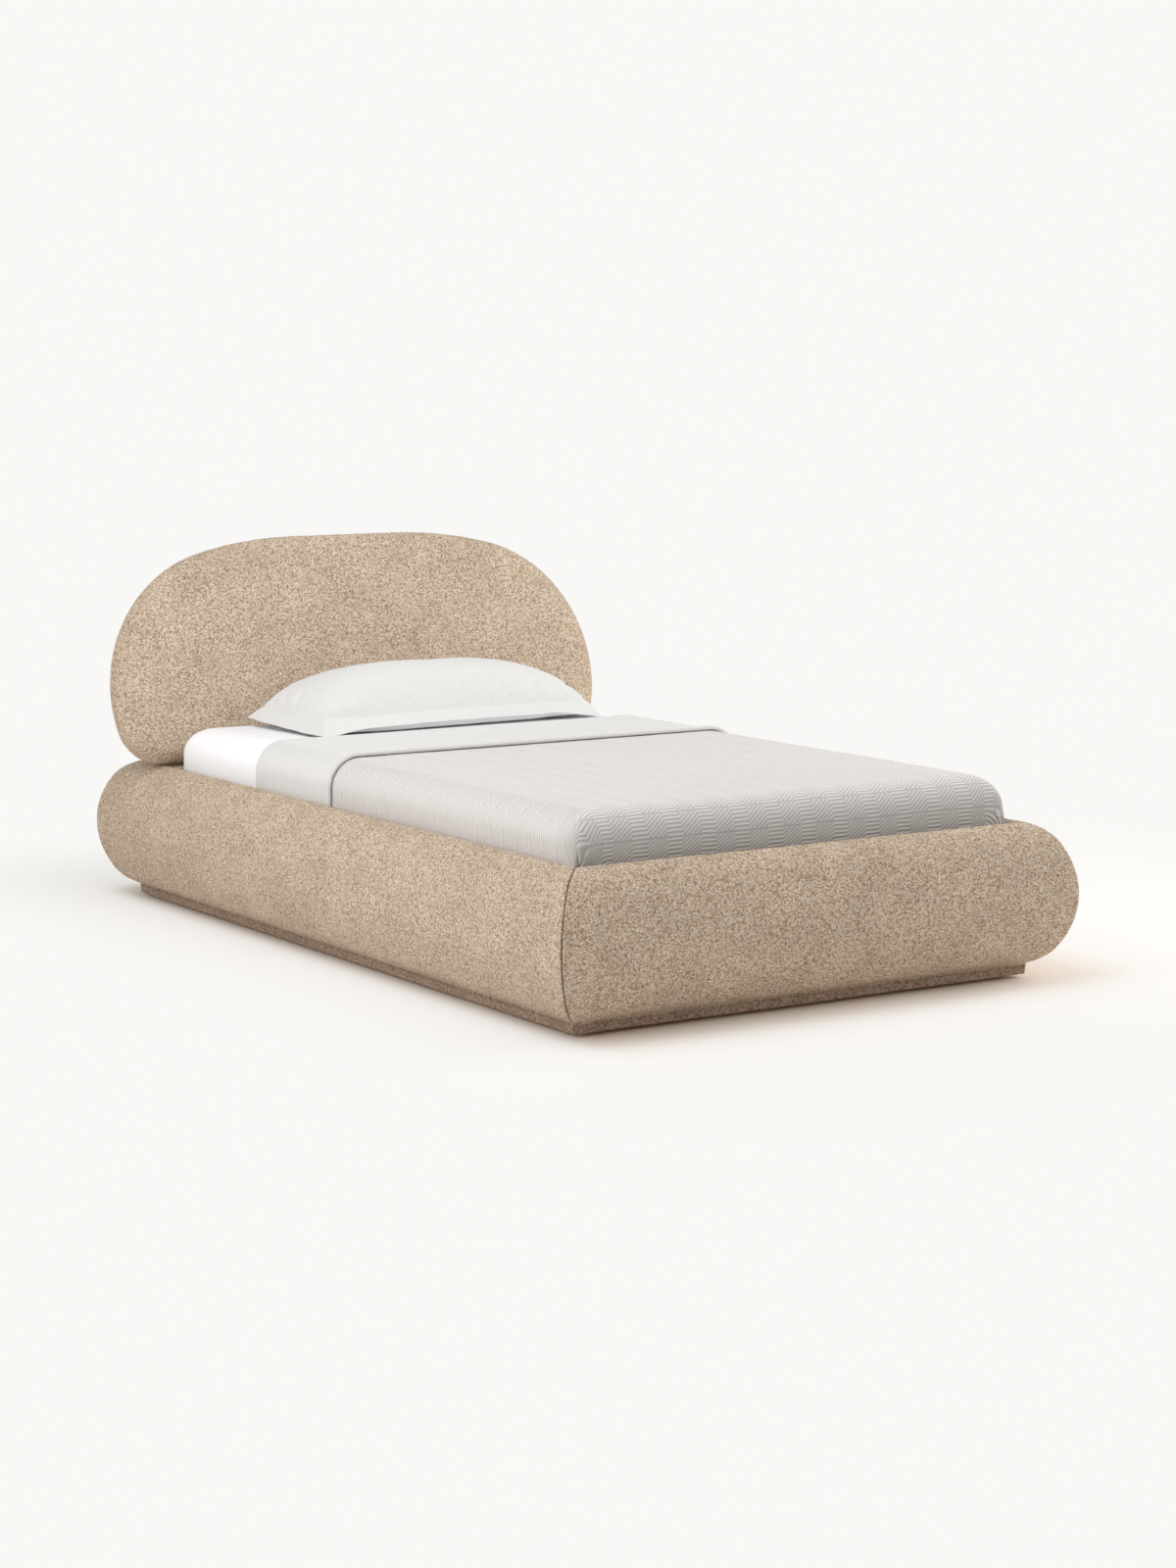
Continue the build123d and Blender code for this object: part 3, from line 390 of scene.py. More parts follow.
# %% [markdown]
# Brackets and hangers are powder-coated steel, bolts are zinc plated, glides and slat holders are moulded
# plastic. A coat and a moulding both have a fine orange peel, zinc plate has a faint spangle and foam has
# open cells. All four are one fine noise, with the size, depth and gloss of each, so one function makes them.

# %% Metal, plastic and foam
peel_tones = (0.88, 1.1)


def fine_grained(name, swatch, grain, depth, roughness, metallic=0.0):
    """A coat or moulding with a fine surface grain."""
    made, tree = new_material(name)
    place = add_node(tree, "TexCoord").outputs["Object"]
    peel = add_node(tree, "TexNoise", {"Vector": place, "Scale": 1 / grain, "Detail": 2.0})
    tone = add_node(tree, "MapRange", {0: peel, 1: 0.3, 2: 0.7, 3: peel_tones[0], 4: peel_tones[1]})
    coat = {0: linear(swatch)[:3], "Scale": tone}
    close_material(
        tree,
        {
            "Base Color": add_node(tree, "VectorMath", coat, operation="SCALE"),
            "Roughness": roughness,
            "Metallic": metallic,
            "Normal": add_node(tree, "Bump", {"Strength": 0.4, "Distance": depth, "Height": peel}),
        },
    )
    return made


steel = fine_grained("powder_coated_steel", "#232324", 0.8 * mm, 0.1 * mm, 0.45)
zinc = fine_grained("zinc_plated_steel", "#C3C2BE", 2.5 * mm, 0.05 * mm, 0.35, 1.0)
plastic = fine_grained("moulded_black_plastic", "#1D1C1B", 0.6 * mm, 0.08 * mm, 0.5)
foam = fine_grained("open_cell_foam", "#EDE6CF", 1.2 * mm, 0.6 * mm, 0.95)
print("metal, plastic and foam ready")

# %% [markdown]
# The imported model's hard pieces stay as they are and only get their finish. They could be given it one by
# one, but their names say what they are, so a table from the start of a name to its finish covers them all.

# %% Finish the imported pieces
node_finishes = {  # the first that a node's name starts with
    "rail_board_foot": crosswise_birch,
    "rail_board_head": crosswise_birch,
    "rail_board": lengthwise_birch,
    "head_cross_board": crosswise_birch,
    "headboard_core": crosswise_birch,
    "head_deck": crosswise_birch,
    "headboard_leg": upright_beech,
    "frame_bolts": zinc,
    "ledge_screws": zinc,
    "glides": plastic,
    "slat_holders": plastic,
    "slat_pads": plastic,
    "slat_ledge": pine,
    "centre_beam": pine,
    "plinth_batten": pine,
    "centre_legs": upright_pine,
    "slat_": beech,
    "corner_bracket": steel,
    "beam_hangers": steel,
}


def finish_of(node):
    """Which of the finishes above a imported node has."""
    return next((finish for start, finish in node_finishes.items() if node.startswith(start)), foam)


for node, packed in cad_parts.items():
    packed.data.materials.clear()
    packed.data.materials.append(finish_of(node))
print("finished nodes:", len(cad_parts))

# %% [markdown]
# Every soft piece of this bed is a skin of fabric, and a skin is a grid of points: rows along it and columns
# across it. Blender's own shapes could be bent and subdivided into such skins, but a grid lets us work each
# point out from the bed's real sizes. These helpers turn a grid into faces and faces into an object, so that
# each piece below only has to say where its points are, in metres.

# %% Small helpers for meshes
def grid_faces(rows, columns, wrap_columns=False, first=0):
    """Four-sided faces between the points of a grid that are numbered row by row."""
    across = np.arange(columns if wrap_columns else columns - 1)
    row, column = np.meshgrid(np.arange(rows - 1), across, indexing="ij")
    next_row, next_column = row + 1, (column + 1) % columns
    corners = ((row, column), (row, next_column), (next_row, next_column), (next_row, column))
    quads = np.stack([r * columns + c for r, c in corners], axis=-1)
    return (quads.reshape(-1, 4) + first).tolist()


def tube_faces(rows, columns, flip_ends=False):
    """Faces of a tube whose rows are closed rings, with one face across each end."""
    ends = [list(range(columns)), list(range(rows * columns - 1, (rows - 1) * columns - 1, -1))]
    if flip_ends:
        ends = [end[::-1] for end in ends]
    return grid_faces(rows, columns, wrap_columns=True) + ends


def mesh_piece(name, points, faces):
    """One smooth-shaded object from points and faces."""
    mesh = bpy.data.meshes.new(name)
    mesh.from_pydata(np.asarray(points, float).reshape(-1, 3).tolist(), [], faces)
    mesh.validate()
    mesh.shade_smooth()
    made = bpy.data.objects.new(name, mesh)
    bpy.context.scene.collection.objects.link(made)
    return made


def arc_points(centre, radius, start, end, step):
    """Points along a circle between two angles, about a step apart."""
    count = max(2, round(abs(end - start) * radius / step) + 1)
    angles = np.linspace(start, end, count)
    return np.stack([centre[0] + radius * np.cos(angles), centre[1] + radius * np.sin(angles)], axis=1)


def line_points(start, end, step):
    """Points along a straight line, about a step apart."""
    start, end = np.asarray(start, float), np.asarray(end, float)
    count = max(2, round(float(np.linalg.norm(end - start)) / step) + 1)
    return start + np.linspace(0, 1, count)[:, None] * (end - start)


def joined(*runs):
    """Runs of points put end to end, without the points that two runs share."""
    kept = [runs[0]] + [run[1:] for run in runs[1:]]
    return np.concatenate(kept)


smallest = 1e-12  # stands in for zero in a division


def unit(vectors):
    """Vectors scaled to a length of one."""
    return vectors / np.maximum(np.linalg.norm(vectors, axis=-1, keepdims=True), smallest)


seed_shift = 17.3  # lumps between the places that two seeds start from


def soft_noise(points, size, seed=0):
    """Smooth noise from about -1 to 1, with lumps of a size, at each point."""
    places = (np.asarray(points, float).reshape(-1, 3) / size + seed * seed_shift).tolist()
    return np.array([noise.noise(place) for place in places]).reshape(np.shape(points)[:-1])


print("mesh helpers ready")

# %% [markdown]
# Each rail is a plywood board with a thick foam pad, drawn up tight in boucle. Its section is a soft D:
# a bulging belly, two round shoulders, and a rounded inner edge over which the fabric turns down. We lay
# out that outline once from its arcs, then carry it along each side to the mitre, where the cover rounds
# over into the seam. Tight foam upholstery hardly creases, so the skin is modelled directly and not
# simulated; noise gives it the loops' lumps and the foam's slight unevenness.

# %% The rails' section
rail_low, rail_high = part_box("rail_cover_left")
plinth_low, plinth_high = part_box("plinth_cover_left")
plinth_x = -plinth_low.x
plinth_y = -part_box("plinth_cover_foot")[0].y
plinth_top = plinth_high.z
rail_return = rail_high.x + plinth_x
rail_bulge = -rail_low.x - plinth_x
rail_height = 346 * mm
belly_radius = 250 * mm
shoulder_radius = 96 * mm
inner_edge_radius = 20 * mm
board_thickness = 25 * mm
board_drop = 32 * mm
turn_in = 75 * mm
board_gap = 0.4 * mm
skin_step = 5.5 * mm
rail_middle = plinth_top + rail_height / 2


def rail_skin():
    """The outline that the fabric follows, from its inner hem over the crest and belly to the underside."""
    half = rail_height / 2
    rise = half - shoulder_radius
    run = sqrt((belly_radius - shoulder_radius) ** 2 - rise**2)
    shoulder_u = rail_bulge - belly_radius + run
    belly_end = atan2(rise, run)
    edge_u = inner_edge_radius - rail_return
    reach = shoulder_radius - inner_edge_radius
    edge_v = rise + sqrt(reach**2 - (edge_u - shoulder_u) ** 2)
    meet = atan2(edge_v - rise, edge_u - shoulder_u)
    return joined(
        line_points((-rail_return, half - turn_in), (-rail_return, edge_v), skin_step),
        arc_points((edge_u, edge_v), inner_edge_radius, pi, meet, skin_step),
        arc_points((shoulder_u, rise), shoulder_radius, meet, belly_end, skin_step),
        arc_points((rail_bulge - belly_radius, 0), belly_radius, belly_end, -belly_end, skin_step),
        arc_points((shoulder_u, -rise), shoulder_radius, -belly_end, -pi / 2, skin_step),
        line_points((shoulder_u, -half), (board_gap, -half), skin_step),
    )


def rail_back():
    """The hidden outline along the board, from the underside back to the hem."""
    half = rail_height / 2
    board_top = half - board_drop + board_gap
    board_back = -board_thickness - board_gap
    return np.array([(board_gap, board_top), (board_back, board_top), (board_back, half - turn_in)])


rail_outline = rail_skin()
print("rail", round((rail_bulge + rail_return) / mm), "mm deep,", len(rail_outline), "points round its skin")

# %% [markdown]
# Carrying the outline along a side is one grid: a row for each place along, a column for each outline
# point. A row's end is further out where the outline is further out, which is what a mitre is. Near the
# mitre the outline draws in on a small radius, so that two covers meet in a soft, dark seam.

# %% Carry a section along one side
bed_sides = {
    "left": (np.array((-1.0, 0, 0)), plinth_x, plinth_y),
    "right": (np.array((1.0, 0, 0)), plinth_x, plinth_y),
    "foot": (np.array((0, -1.0, 0)), plinth_y, plinth_x),
    "head": (np.array((0, 1.0, 0)), plinth_y, plinth_x),
}
seam_gap = 1.4 * mm
seam_radius = 7 * mm
seam_rows = np.array((0, 0.3, 0.9, 2.0, 4.0, 7.0)) * mm
lump_size = 6.5 * mm
lump_height = 0.95 * mm
sway_size = 260 * mm
sway_height = 1.3 * mm


def outline_normals(outline):
    """Outward normals of a section's skin, whose points run clockwise seen along the side."""
    tangent = unit(np.gradient(outline, axis=0))
    return np.stack([-tangent[:, 1], tangent[:, 0]], axis=1)


def rows_along(length):
    """Places from end to end of a side, closer together near both seams."""
    inner = length - seam_rows[-1]
    middle = np.linspace(-inner, inner, round(2 * inner / skin_step) + 1)
    ends = length - seam_rows[:-1]
    return np.concatenate([-ends, middle, ends[::-1]])


def foam_lift(points, first_seed):
    """How far the loops and the foam's unevenness lift a skin at each point."""
    lift = lump_height * soft_noise(points, lump_size, seed=first_seed)
    lift += lump_height * soft_noise(points, lump_size / 2, seed=first_seed + 1) / 2
    return lift + sway_height * soft_noise(points, sway_size, seed=first_seed + 2)


def carried(name, side, outline, back, middle_z, edge_radius=seam_radius):
    """A padded length of one side: its skin, the hidden faces behind it and its two mitred ends."""
    outward, reach, half_length = bed_sides[side]
    along_direction = np.cross(outward, (0, 0, 1))
    count = len(outline)
    normals = outline_normals(outline)
    rows = rows_along(half_length)
    from_seam = (half_length - np.abs(rows))[:, None]
    inset = edge_radius - np.sqrt(np.maximum(edge_radius**2 - np.maximum(edge_radius - from_seam, 0) ** 2, 0))
    skin = outline[None] - normals[None] * inset[..., None]
    section = np.concatenate([skin, np.repeat(back[None], len(rows), axis=0)], axis=1)
    stretch = (half_length + section[..., 0] - seam_gap) / half_length
    along = rows[:, None] * stretch
    points = (
        outward * (reach + section[..., :1])
        + along_direction * along[..., None]
        + np.array((0, 0, 1)) * (middle_z + section[..., 1:])
    )
    lift = foam_lift(points[:, :count], first_seed=1)
    direction = outward * normals[None, :, :1] + np.array((0, 0, 1)) * normals[None, :, 1:]
    points[:, :count] += direction * lift[..., None]
    return mesh_piece(name, points, tube_faces(*points.shape[:2]))


print("rows along a side rail", len(rows_along(plinth_y)))

# %% [markdown]
# Each finished piece gets three things: faces that all look outward, its material and the body that it moves
# with. It also takes the place of the packed model's plain solids of the same parts, which are then hidden.

# %% The four rails
def tidy_normals(piece):
    """Turns all of a closed piece's faces outward."""
    work = bmesh.new()
    work.from_mesh(piece.data)
    bmesh.ops.recalc_face_normals(work, faces=work.faces)
    work.to_mesh(piece.data)
    work.free()


def dress(piece, body, material, slot, *nodes):
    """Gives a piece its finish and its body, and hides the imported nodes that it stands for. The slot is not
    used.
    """
    tidy_normals(piece)
    piece.data.materials.append(material)
    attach(piece, body)
    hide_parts(*nodes)


for side in bed_sides:
    rail_pad = carried(f"rail_upholstery_{side}", side, rail_outline, rail_back(), rail_middle)
    dress(rail_pad, "frame", boucle, "boucle", f"rail_cover_{side}", f"rail_foam_{side}")
    print(rail_pad.name, len(rail_pad.data.vertices), "points")

# %% [markdown]
# Under the rails a low plinth, wrapped in the same boucle, keeps the bed's belly off the floor. It is the
# same carried grid with a small section: over the batten's top, down its face and round its lower edge.

# %% The plinth's fabric
plinth_bottom = plinth_low.z
plinth_depth = plinth_high.x - plinth_low.x
plinth_fabric = 3 * mm
plinth_corner = 4 * mm
plinth_step = 4 * mm
plinth_seam_radius = 2 * mm


def plinth_skin():
    """Over the top, down the outer face and round its lower edge, seen from the side's section plane."""
    half = (plinth_top - plinth_bottom) / 2
    return joined(
        line_points((-plinth_depth, half), (-plinth_corner, half), 4 * plinth_step),
        arc_points((-plinth_corner, half - plinth_corner), plinth_corner, pi / 2, 0, plinth_step / 2),
        line_points((0, half - plinth_corner), (0, plinth_corner - half), plinth_step),
        arc_points((-plinth_corner, plinth_corner - half), plinth_corner, 0, -pi / 2, plinth_step / 2),
    )


def plinth_back():
    """The hidden outline along the batten."""
    half = (plinth_top - plinth_bottom) / 2
    face = -plinth_fabric + board_gap
    under_top = half - plinth_fabric + board_gap
    lower = [(-plinth_corner, -half + board_gap), (face, -half + plinth_fabric)]
    return np.array(lower + [(face, under_top), (-plinth_depth, under_top)])


for side in bed_sides:
    plinth_middle = (plinth_top + plinth_bottom) / 2
    skin, back = plinth_skin(), plinth_back()
    wrap = carried(f"plinth_fabric_{side}", side, skin, back, plinth_middle, plinth_seam_radius)
    dress(wrap, "frame", shaded_plinth_boucle, "boucle", f"plinth_cover_{side}")
    print(wrap.name, len(wrap.data.vertices), "points")

# %% [markdown]
# The headboard is a flat oval pad with fully rounded edges, leaning back 12 degrees. Its outline is six
# arcs and two straight edges. A bevelled slab would have the rim, but not that outline, and its bevel would
# crowd in the tight corners. Here every outline point knows its outward direction, so the rounded rim is
# the same outline drawn in along a half circle, and the flat faces are further rings that close on a line
# in the middle. Front and back covers meet in a seam along the middle of the rim.

# %% The headboard's outline
headboard_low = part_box("headboard_cover_front")[0]
headboard_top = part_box("headboard_cover_back")[1]
headboard_lean = radians(12)
headboard_rise = 421 * mm
headboard_drop = 190 * mm
headboard_thickness = 100 * mm
headboard_shoulder_radius = 1200 * mm
headboard_side_radius = 400 * mm
headboard_corner_radius = 125 * mm
headboard_shoulder_end = radians(75.5)
headboard_setback = 106 * mm
rim_flat = 1 * mm  # half of the flat strip round the rim
rim_radius = headboard_thickness / 2 - rim_flat
headboard_half_width = headboard_top.x
headboard_middle_y = plinth_y - headboard_setback
headboard_middle_z = headboard_low.z + (headboard_drop - rim_radius) * cos(headboard_lean)
headboard_middle_z += rim_radius + rim_flat * sin(headboard_lean)


def turned(centre, radius, start, end):
    """Points of an arc and the outward direction at each."""
    points = arc_points(centre, radius, start, end, skin_step)
    return np.concatenate([points, unit(points - np.asarray(centre))], axis=1)


def straight(start, end, outward):
    """Points of a straight edge and its outward direction."""
    points = line_points(start, end, skin_step)
    return np.concatenate([points, np.repeat([outward], len(points), axis=0)], axis=1)


def headboard_outline():
    """The closed outline, anticlockwise from the middle of the bottom edge: x, up, and outward x and up."""
    shoulder_up = headboard_rise - headboard_shoulder_radius
    offset = headboard_shoulder_radius - headboard_side_radius
    side_x = offset * cos(headboard_shoulder_end)
    shift = headboard_half_width - headboard_side_radius - side_x
    side_up = shoulder_up + offset * sin(headboard_shoulder_end)
    corner_up = headboard_corner_radius - headboard_drop
    fall = side_up - corner_up
    run = sqrt((headboard_side_radius - headboard_corner_radius) ** 2 - fall**2)
    corner_x = side_x + shift + run
    corner_start = -atan2(fall, run)
    right = joined(
        straight((0, -headboard_drop), (corner_x, -headboard_drop), (0, -1)),
        turned((corner_x, corner_up), headboard_corner_radius, -pi / 2, corner_start),
        turned((side_x + shift, side_up), headboard_side_radius, corner_start, headboard_shoulder_end),
        turned((shift, shoulder_up), headboard_shoulder_radius, headboard_shoulder_end, pi / 2),
        straight((shift, headboard_rise), (0, headboard_rise), (0, 1)),
    )
    left = right[-2:0:-1] * np.array((-1, 1, -1, 1))
    return np.concatenate([right, left])


oval = headboard_outline()
print("headboard outline", len(oval), "points,", round(2 * headboard_half_width / mm), "mm wide")

# %% [markdown]
# The face is a touch crowned, as foam under a tight cover is, and the two covers pull in slightly where
# their seam runs round the rim.

# %% The headboard's pad
face_crown = 4 * mm
face_line_share = 0.62  # length of the line on which the face's rings close, of the half width
rim_seam_width = 5 * mm
rim_seam_depth = 2.2 * mm


def lean(points):
    """Headboard coordinates (across, up, forward) turned into the room's x, y and z."""
    across, up, forward = points[..., 0], points[..., 1], points[..., 2]
    y = headboard_middle_y + up * sin(headboard_lean) - forward * cos(headboard_lean)
    z = headboard_middle_z + up * cos(headboard_lean) + forward * sin(headboard_lean)
    return np.stack([across, y, z], axis=-1)


def face_rings():
    """Rings of the front face, from its middle line out to the rim."""
    edge = oval[:, :2] - oval[:, 2:] * rim_radius
    middle_up = (headboard_rise - headboard_drop) / 2
    line_end = face_line_share * headboard_half_width
    line = np.clip(edge[:, 0], -line_end, line_end)
    middle = np.stack([line, np.full(len(line), middle_up)], axis=1)
    count = round((headboard_rise - middle_up) / skin_step)
    shares = np.linspace(0, 1, count)[:, None, None]
    flat = middle + shares * (edge - middle)
    forward = headboard_thickness / 2 + face_crown * (1 - shares[..., 0] ** 2) ** 2 * np.ones(len(line))
    return np.concatenate([flat, forward[..., None]], axis=-1)


def rim_rings():
    """Rings of the rounded rim, from the front face to the back face."""
    count = round(pi * rim_radius / skin_step)
    angles = np.linspace(pi / 2, -pi / 2, count)[1:-1, None, None]
    drawn_in = rim_radius * (1 - np.cos(angles))
    from_seam = np.abs(angles) * rim_radius
    drawn_in = drawn_in + rim_seam_depth * np.exp(-((from_seam / rim_seam_width) ** 2))
    flat = oval[None, :, :2] - oval[None, :, 2:] * drawn_in
    forward = rim_radius * np.sin(angles) + np.sign(angles) * rim_flat
    return np.concatenate([flat, np.broadcast_to(forward, (*flat.shape[:2], 1))], axis=-1)


def surface_normals(points):
    """Normals of a grid of points, from its rows and columns."""
    return unit(np.cross(np.gradient(points, axis=0), np.gradient(points, axis=1)))


front = face_rings()
back = front[::-1] * np.array((1, 1, -1))
skin = lean(np.concatenate([front, rim_rings(), back]))
normals = surface_normals(skin)
outside = np.sign(np.sum(normals[0, 0] * (0, -cos(headboard_lean), sin(headboard_lean))))
skin = skin + outside * normals * foam_lift(skin, first_seed=4)[..., None]
headboard_pad = mesh_piece("headboard_pad", skin, grid_faces(*skin.shape[:2], wrap_columns=True))
print("headboard pad", len(headboard_pad.data.vertices), "points")

# %% [markdown]
# The rings close on a line, where many points lie on top of each other. Merging them by distance leaves one
# clean, closed skin.

# %% Close the headboard's faces
def merge_close(piece, distance):
    """Merges points that lie within a distance of each other."""
    work = bmesh.new()
    work.from_mesh(piece.data)
    bmesh.ops.remove_doubles(work, verts=work.verts, dist=distance)
    work.to_mesh(piece.data)
    work.free()


closing_distance = 1.5 * mm
merge_close(headboard_pad, closing_distance)
headboard_nodes = ("headboard_foam", "headboard_cover_front", "headboard_cover_back")
dress(headboard_pad, "frame", boucle, "boucle", *headboard_nodes)
print("after merging", len(headboard_pad.data.vertices), "points")

# %% [markdown]
# Behind the mattress a low deck, wrapped in the same cloth, closes the frame under the headboard. It is a
# closed strip: over the deck, over a small rounded front edge and down in front of the cross board.

# %% The head deck's fabric
deck_low, deck_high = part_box("head_deck_cover")
deck_fabric = 3 * mm
deck_edge_radius = 4 * mm
deck_lumps = 0.6 * mm


def deck_section():
    """Outer and inner outlines of the strip, in y and z, from its back edge to its front hem."""
    y, z = deck_low.y, deck_high.z
    r = deck_edge_radius
    outer = joined(
        line_points((deck_high.y, z), (y + r, z), skin_step),
        arc_points((y + r, z - r), r, pi / 2, pi, r / 3),
        line_points((y, z - r), (y, deck_low.z), skin_step),
    )
    inner_y, inner_z = y + deck_fabric, z - deck_fabric
    return outer, np.array([(inner_y, deck_low.z), (inner_y, inner_z), (deck_high.y, inner_z)])


deck_outer, deck_inner = deck_section()
deck_x = line_points((deck_low.x,), (deck_high.x,), skin_step)[:, 0]
deck_round = np.concatenate([deck_outer, deck_inner])
deck_points = np.zeros((len(deck_x), len(deck_round), 3))
deck_points[..., 0] = deck_x[:, None]
deck_points[..., 1:] = deck_round
deck_lift = deck_lumps * soft_noise(deck_points[:, : len(deck_outer)], lump_size, seed=7)
deck_points[:, : len(deck_outer), 2] += np.minimum(deck_lift, 0)
deck_cloth = mesh_piece("head_deck_fabric", deck_points, tube_faces(*deck_points.shape[:2]))
dress(deck_cloth, "frame", boucle, "boucle", "head_deck_cover")

# %% [markdown]
# Bedding cloth follows the mattress: flat on top, over a rounded edge, down the sides, and round the corners.
# A simulation could drop the cloth on the mattress, but it would not tuck it in, and its hems would hang
# uneven. So one function takes a place on the flat cloth and says where it comes to lie. At a corner the
# cloth's square turns into the mattress's rounded corner, so the hem stays level. Tucked cloth pulls that
# corner squarer than the bare mattress is.

# %% How cloth lies on the mattress
mattress_low, mattress_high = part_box("mattress")
mattress_corner = 80 * mm
mattress_edge = 70 * mm
corner_squareness = 8  # 2 is a circle; the higher, the squarer the corner seen from above
inner_x = mattress_high.x - mattress_corner
inner_foot = mattress_low.y + mattress_corner
inner_head = mattress_high.y - mattress_corner


def edge_profile(distance, grow):
    """How far out and how high cloth lies as it goes over the mattress's edge, and the surface's tilt."""
    flat = mattress_corner - mattress_edge
    radius = mattress_edge + grow
    turn = np.clip((distance - flat) / radius, 0, pi / 2)
    fall = np.maximum(distance - flat - radius * pi / 2, 0)
    out = np.minimum(distance, flat) + radius * np.sin(turn)
    height = mattress_high.z + grow - radius * (1 - np.cos(turn)) - fall
    return out, height, turn


def drop_length(hem_z):
    """Length of cloth from the corner's centre line down to a hem."""
    return mattress_corner - mattress_edge + mattress_edge * pi / 2 + mattress_high.z - mattress_edge - hem_z


def past_centres(across, along):
    """How far places on the flat cloth lie past the centres of the mattress's corners, across and along."""
    over_y = np.maximum(inner_foot - along, 0) + np.maximum(along - inner_head, 0)
    return np.maximum(np.abs(across) - inner_x, 0), over_y


def on_mattress(across, along, grow):
    """Points and outward normals of cloth on the mattress, from places on the flat cloth."""
    over_x, over_y = past_centres(across, along)
    hand_x = np.sign(across)
    hand_y = np.where(along < inner_foot, -1.0, 1.0)
    distance = np.maximum(over_x, over_y)
    smaller = np.minimum(over_x, over_y) / np.maximum(distance, smallest)
    angle = np.where(over_x >= over_y, pi / 4 * smaller, pi / 2 - pi / 4 * smaller)
    out, height, turn = edge_profile(distance, grow)
    across_share, along_share = np.cos(angle), np.sin(angle)
    reach = (across_share**corner_squareness + along_share**corner_squareness) ** (1 / corner_squareness)
    direction_x, direction_y = hand_x * across_share / reach, hand_y * along_share / reach
    x = np.clip(across, -inner_x, inner_x) + direction_x * out
    y = np.clip(along, inner_foot, inner_head) + direction_y * out
    points = np.stack([x, y, height], axis=-1)
    facing_x, facing_y = across_share ** (corner_squareness - 1), along_share ** (corner_squareness - 1)
    level = np.hypot(facing_x, facing_y)
    facing_x, facing_y = hand_x * facing_x / level, hand_y * facing_y / level
    normals = np.stack([facing_x * np.sin(turn), facing_y * np.sin(turn), np.cos(turn)], axis=-1)
    return points, unit(normals)


print("mattress", round(2 * mattress_high.x, 3), "by", round(mattress_high.y - mattress_low.y, 3), "m")

# %% [markdown]
# Cloth has a thickness. Blender's Solidify modifier could add one, but here some edges are thicker than the
# rest, so each sheet has two grids, its outer and its inner surface, joined by a rim. Cloth with a pattern
# also carries a cloth map: the place of every point on the flat cloth, in metres.

# %% Close a sheet of cloth
def closed_sheet(name, outer, inner, cloth=None):
    """A thin closed piece from its outer and inner surfaces, with a round-edged rim, and its cloth map."""
    rows, columns = outer.shape[:2]
    faces = grid_faces(rows, columns)
    faces += [face[::-1] for face in grid_faces(rows, columns, first=rows * columns)]
    number = np.arange(rows * columns).reshape(rows, columns)
    rim = np.concatenate([number[0, :-1], number[:-1, -1], number[-1, :0:-1], number[:0:-1, 0]])
    after = np.roll(rim, -1)
    inside = rows * columns
    faces += np.stack([rim, rim + inside, after + inside, after], axis=1).tolist()
    made = mesh_piece(name, np.concatenate([outer.reshape(-1, 3), inner.reshape(-1, 3)]), faces)
    if cloth is not None:
        layer = made.data.uv_layers.new(name="cloth")
        corner_points = np.zeros(len(made.data.loops), int)
        made.data.loops.foreach_get("vertex_index", corner_points)
        both = np.concatenate([cloth.reshape(-1, 2)] * 2)
        layer.data.foreach_set("uv", both[corner_points].astype(np.float32).ravel())
    return made


print("ready to close sheets of cloth")

# %% [markdown]
# The mattress itself shows only from below or when the bedding is lifted. It is a foam block in knitted
# ticking with rounded edges, a quilted underside and a raised tape round its lower edge. A cube with a
# bevel would be quicker, but has neither tape nor quilting. So a section is carried round the corners.

# %% The mattress
mattress_step = 14 * mm
underside_edge = 25 * mm  # radius
underside_step = 5 * mm
underside_limit = 1 * mm  # points this low belong to the underside
centre_share = 0.98  # how far in the rows go, of the way to the middle
flat_margin = 10 * mm  # of the top, outside the corners' centres
side_step = 4 * mm
corner_angle_step = 0.12
quilt_size = 110 * mm
quilt_depth = 4 * mm
tape_height = 5 * mm
tape_width = 4 * mm
tape_up = 40 * mm  # above the underside
side_inset = 1 * mm  # the side stands in, so that the tape doesn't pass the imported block


def mattress_profile():
    """The section from the middle of the top, over the edge and down to the middle of the underside."""
    edge, corner, low, high = underside_edge, mattress_corner, mattress_low.z, mattress_high.z
    middle = (mattress_corner - mattress_high.x) * centre_share
    shoulder = high - mattress_edge
    profile = joined(
        line_points((middle, high), (flat_margin, high), mattress_step),
        arc_points((flat_margin, shoulder), mattress_edge, pi / 2, 0, mattress_step),
        line_points((corner, shoulder), (corner, low + edge), side_step),
        arc_points((corner - edge, low + edge), edge, 0, -pi / 2, underside_step),
        line_points((corner - edge, low), (middle, low), mattress_step),
    )
    tape = tape_height * np.exp(-(((profile[:, 1] - low - tape_up) / tape_width) ** 2)) / 2
    profile[:, 0] += np.where(profile[:, 0] > corner - side_inset, tape - side_inset, 0)
    return profile


def mattress_ring():
    """Places round the mattress, seen from above: the nearest corner centre and the way outward."""
    half = np.array((mattress_high.x, (mattress_high.y - mattress_low.y) / 2)) - mattress_corner
    centre = np.array((0, (mattress_high.y + mattress_low.y) / 2))
    quarter = arc_points((0, 0), 1.0, 0, pi / 2, corner_angle_step)
    ring = []
    for hand_x, hand_y, flip in ((1, 1, 1), (-1, 1, -1), (-1, -1, 1), (1, -1, -1)):
        anchor = centre + half * (hand_x, hand_y)
        ring += [(*anchor, *direction) for direction in quarter[::flip] * (hand_x, hand_y)]
    ring = np.array(ring)
    evened = []
    for start, end in zip(ring, np.roll(ring, -1, axis=0)):
        gap = float(np.linalg.norm(end[:2] - start[:2]))
        count = max(1, round(gap / (3 * mattress_step)))
        evened += [start + (end - start) * i / count for i in range(count)]
    return centre, half, np.array(evened)


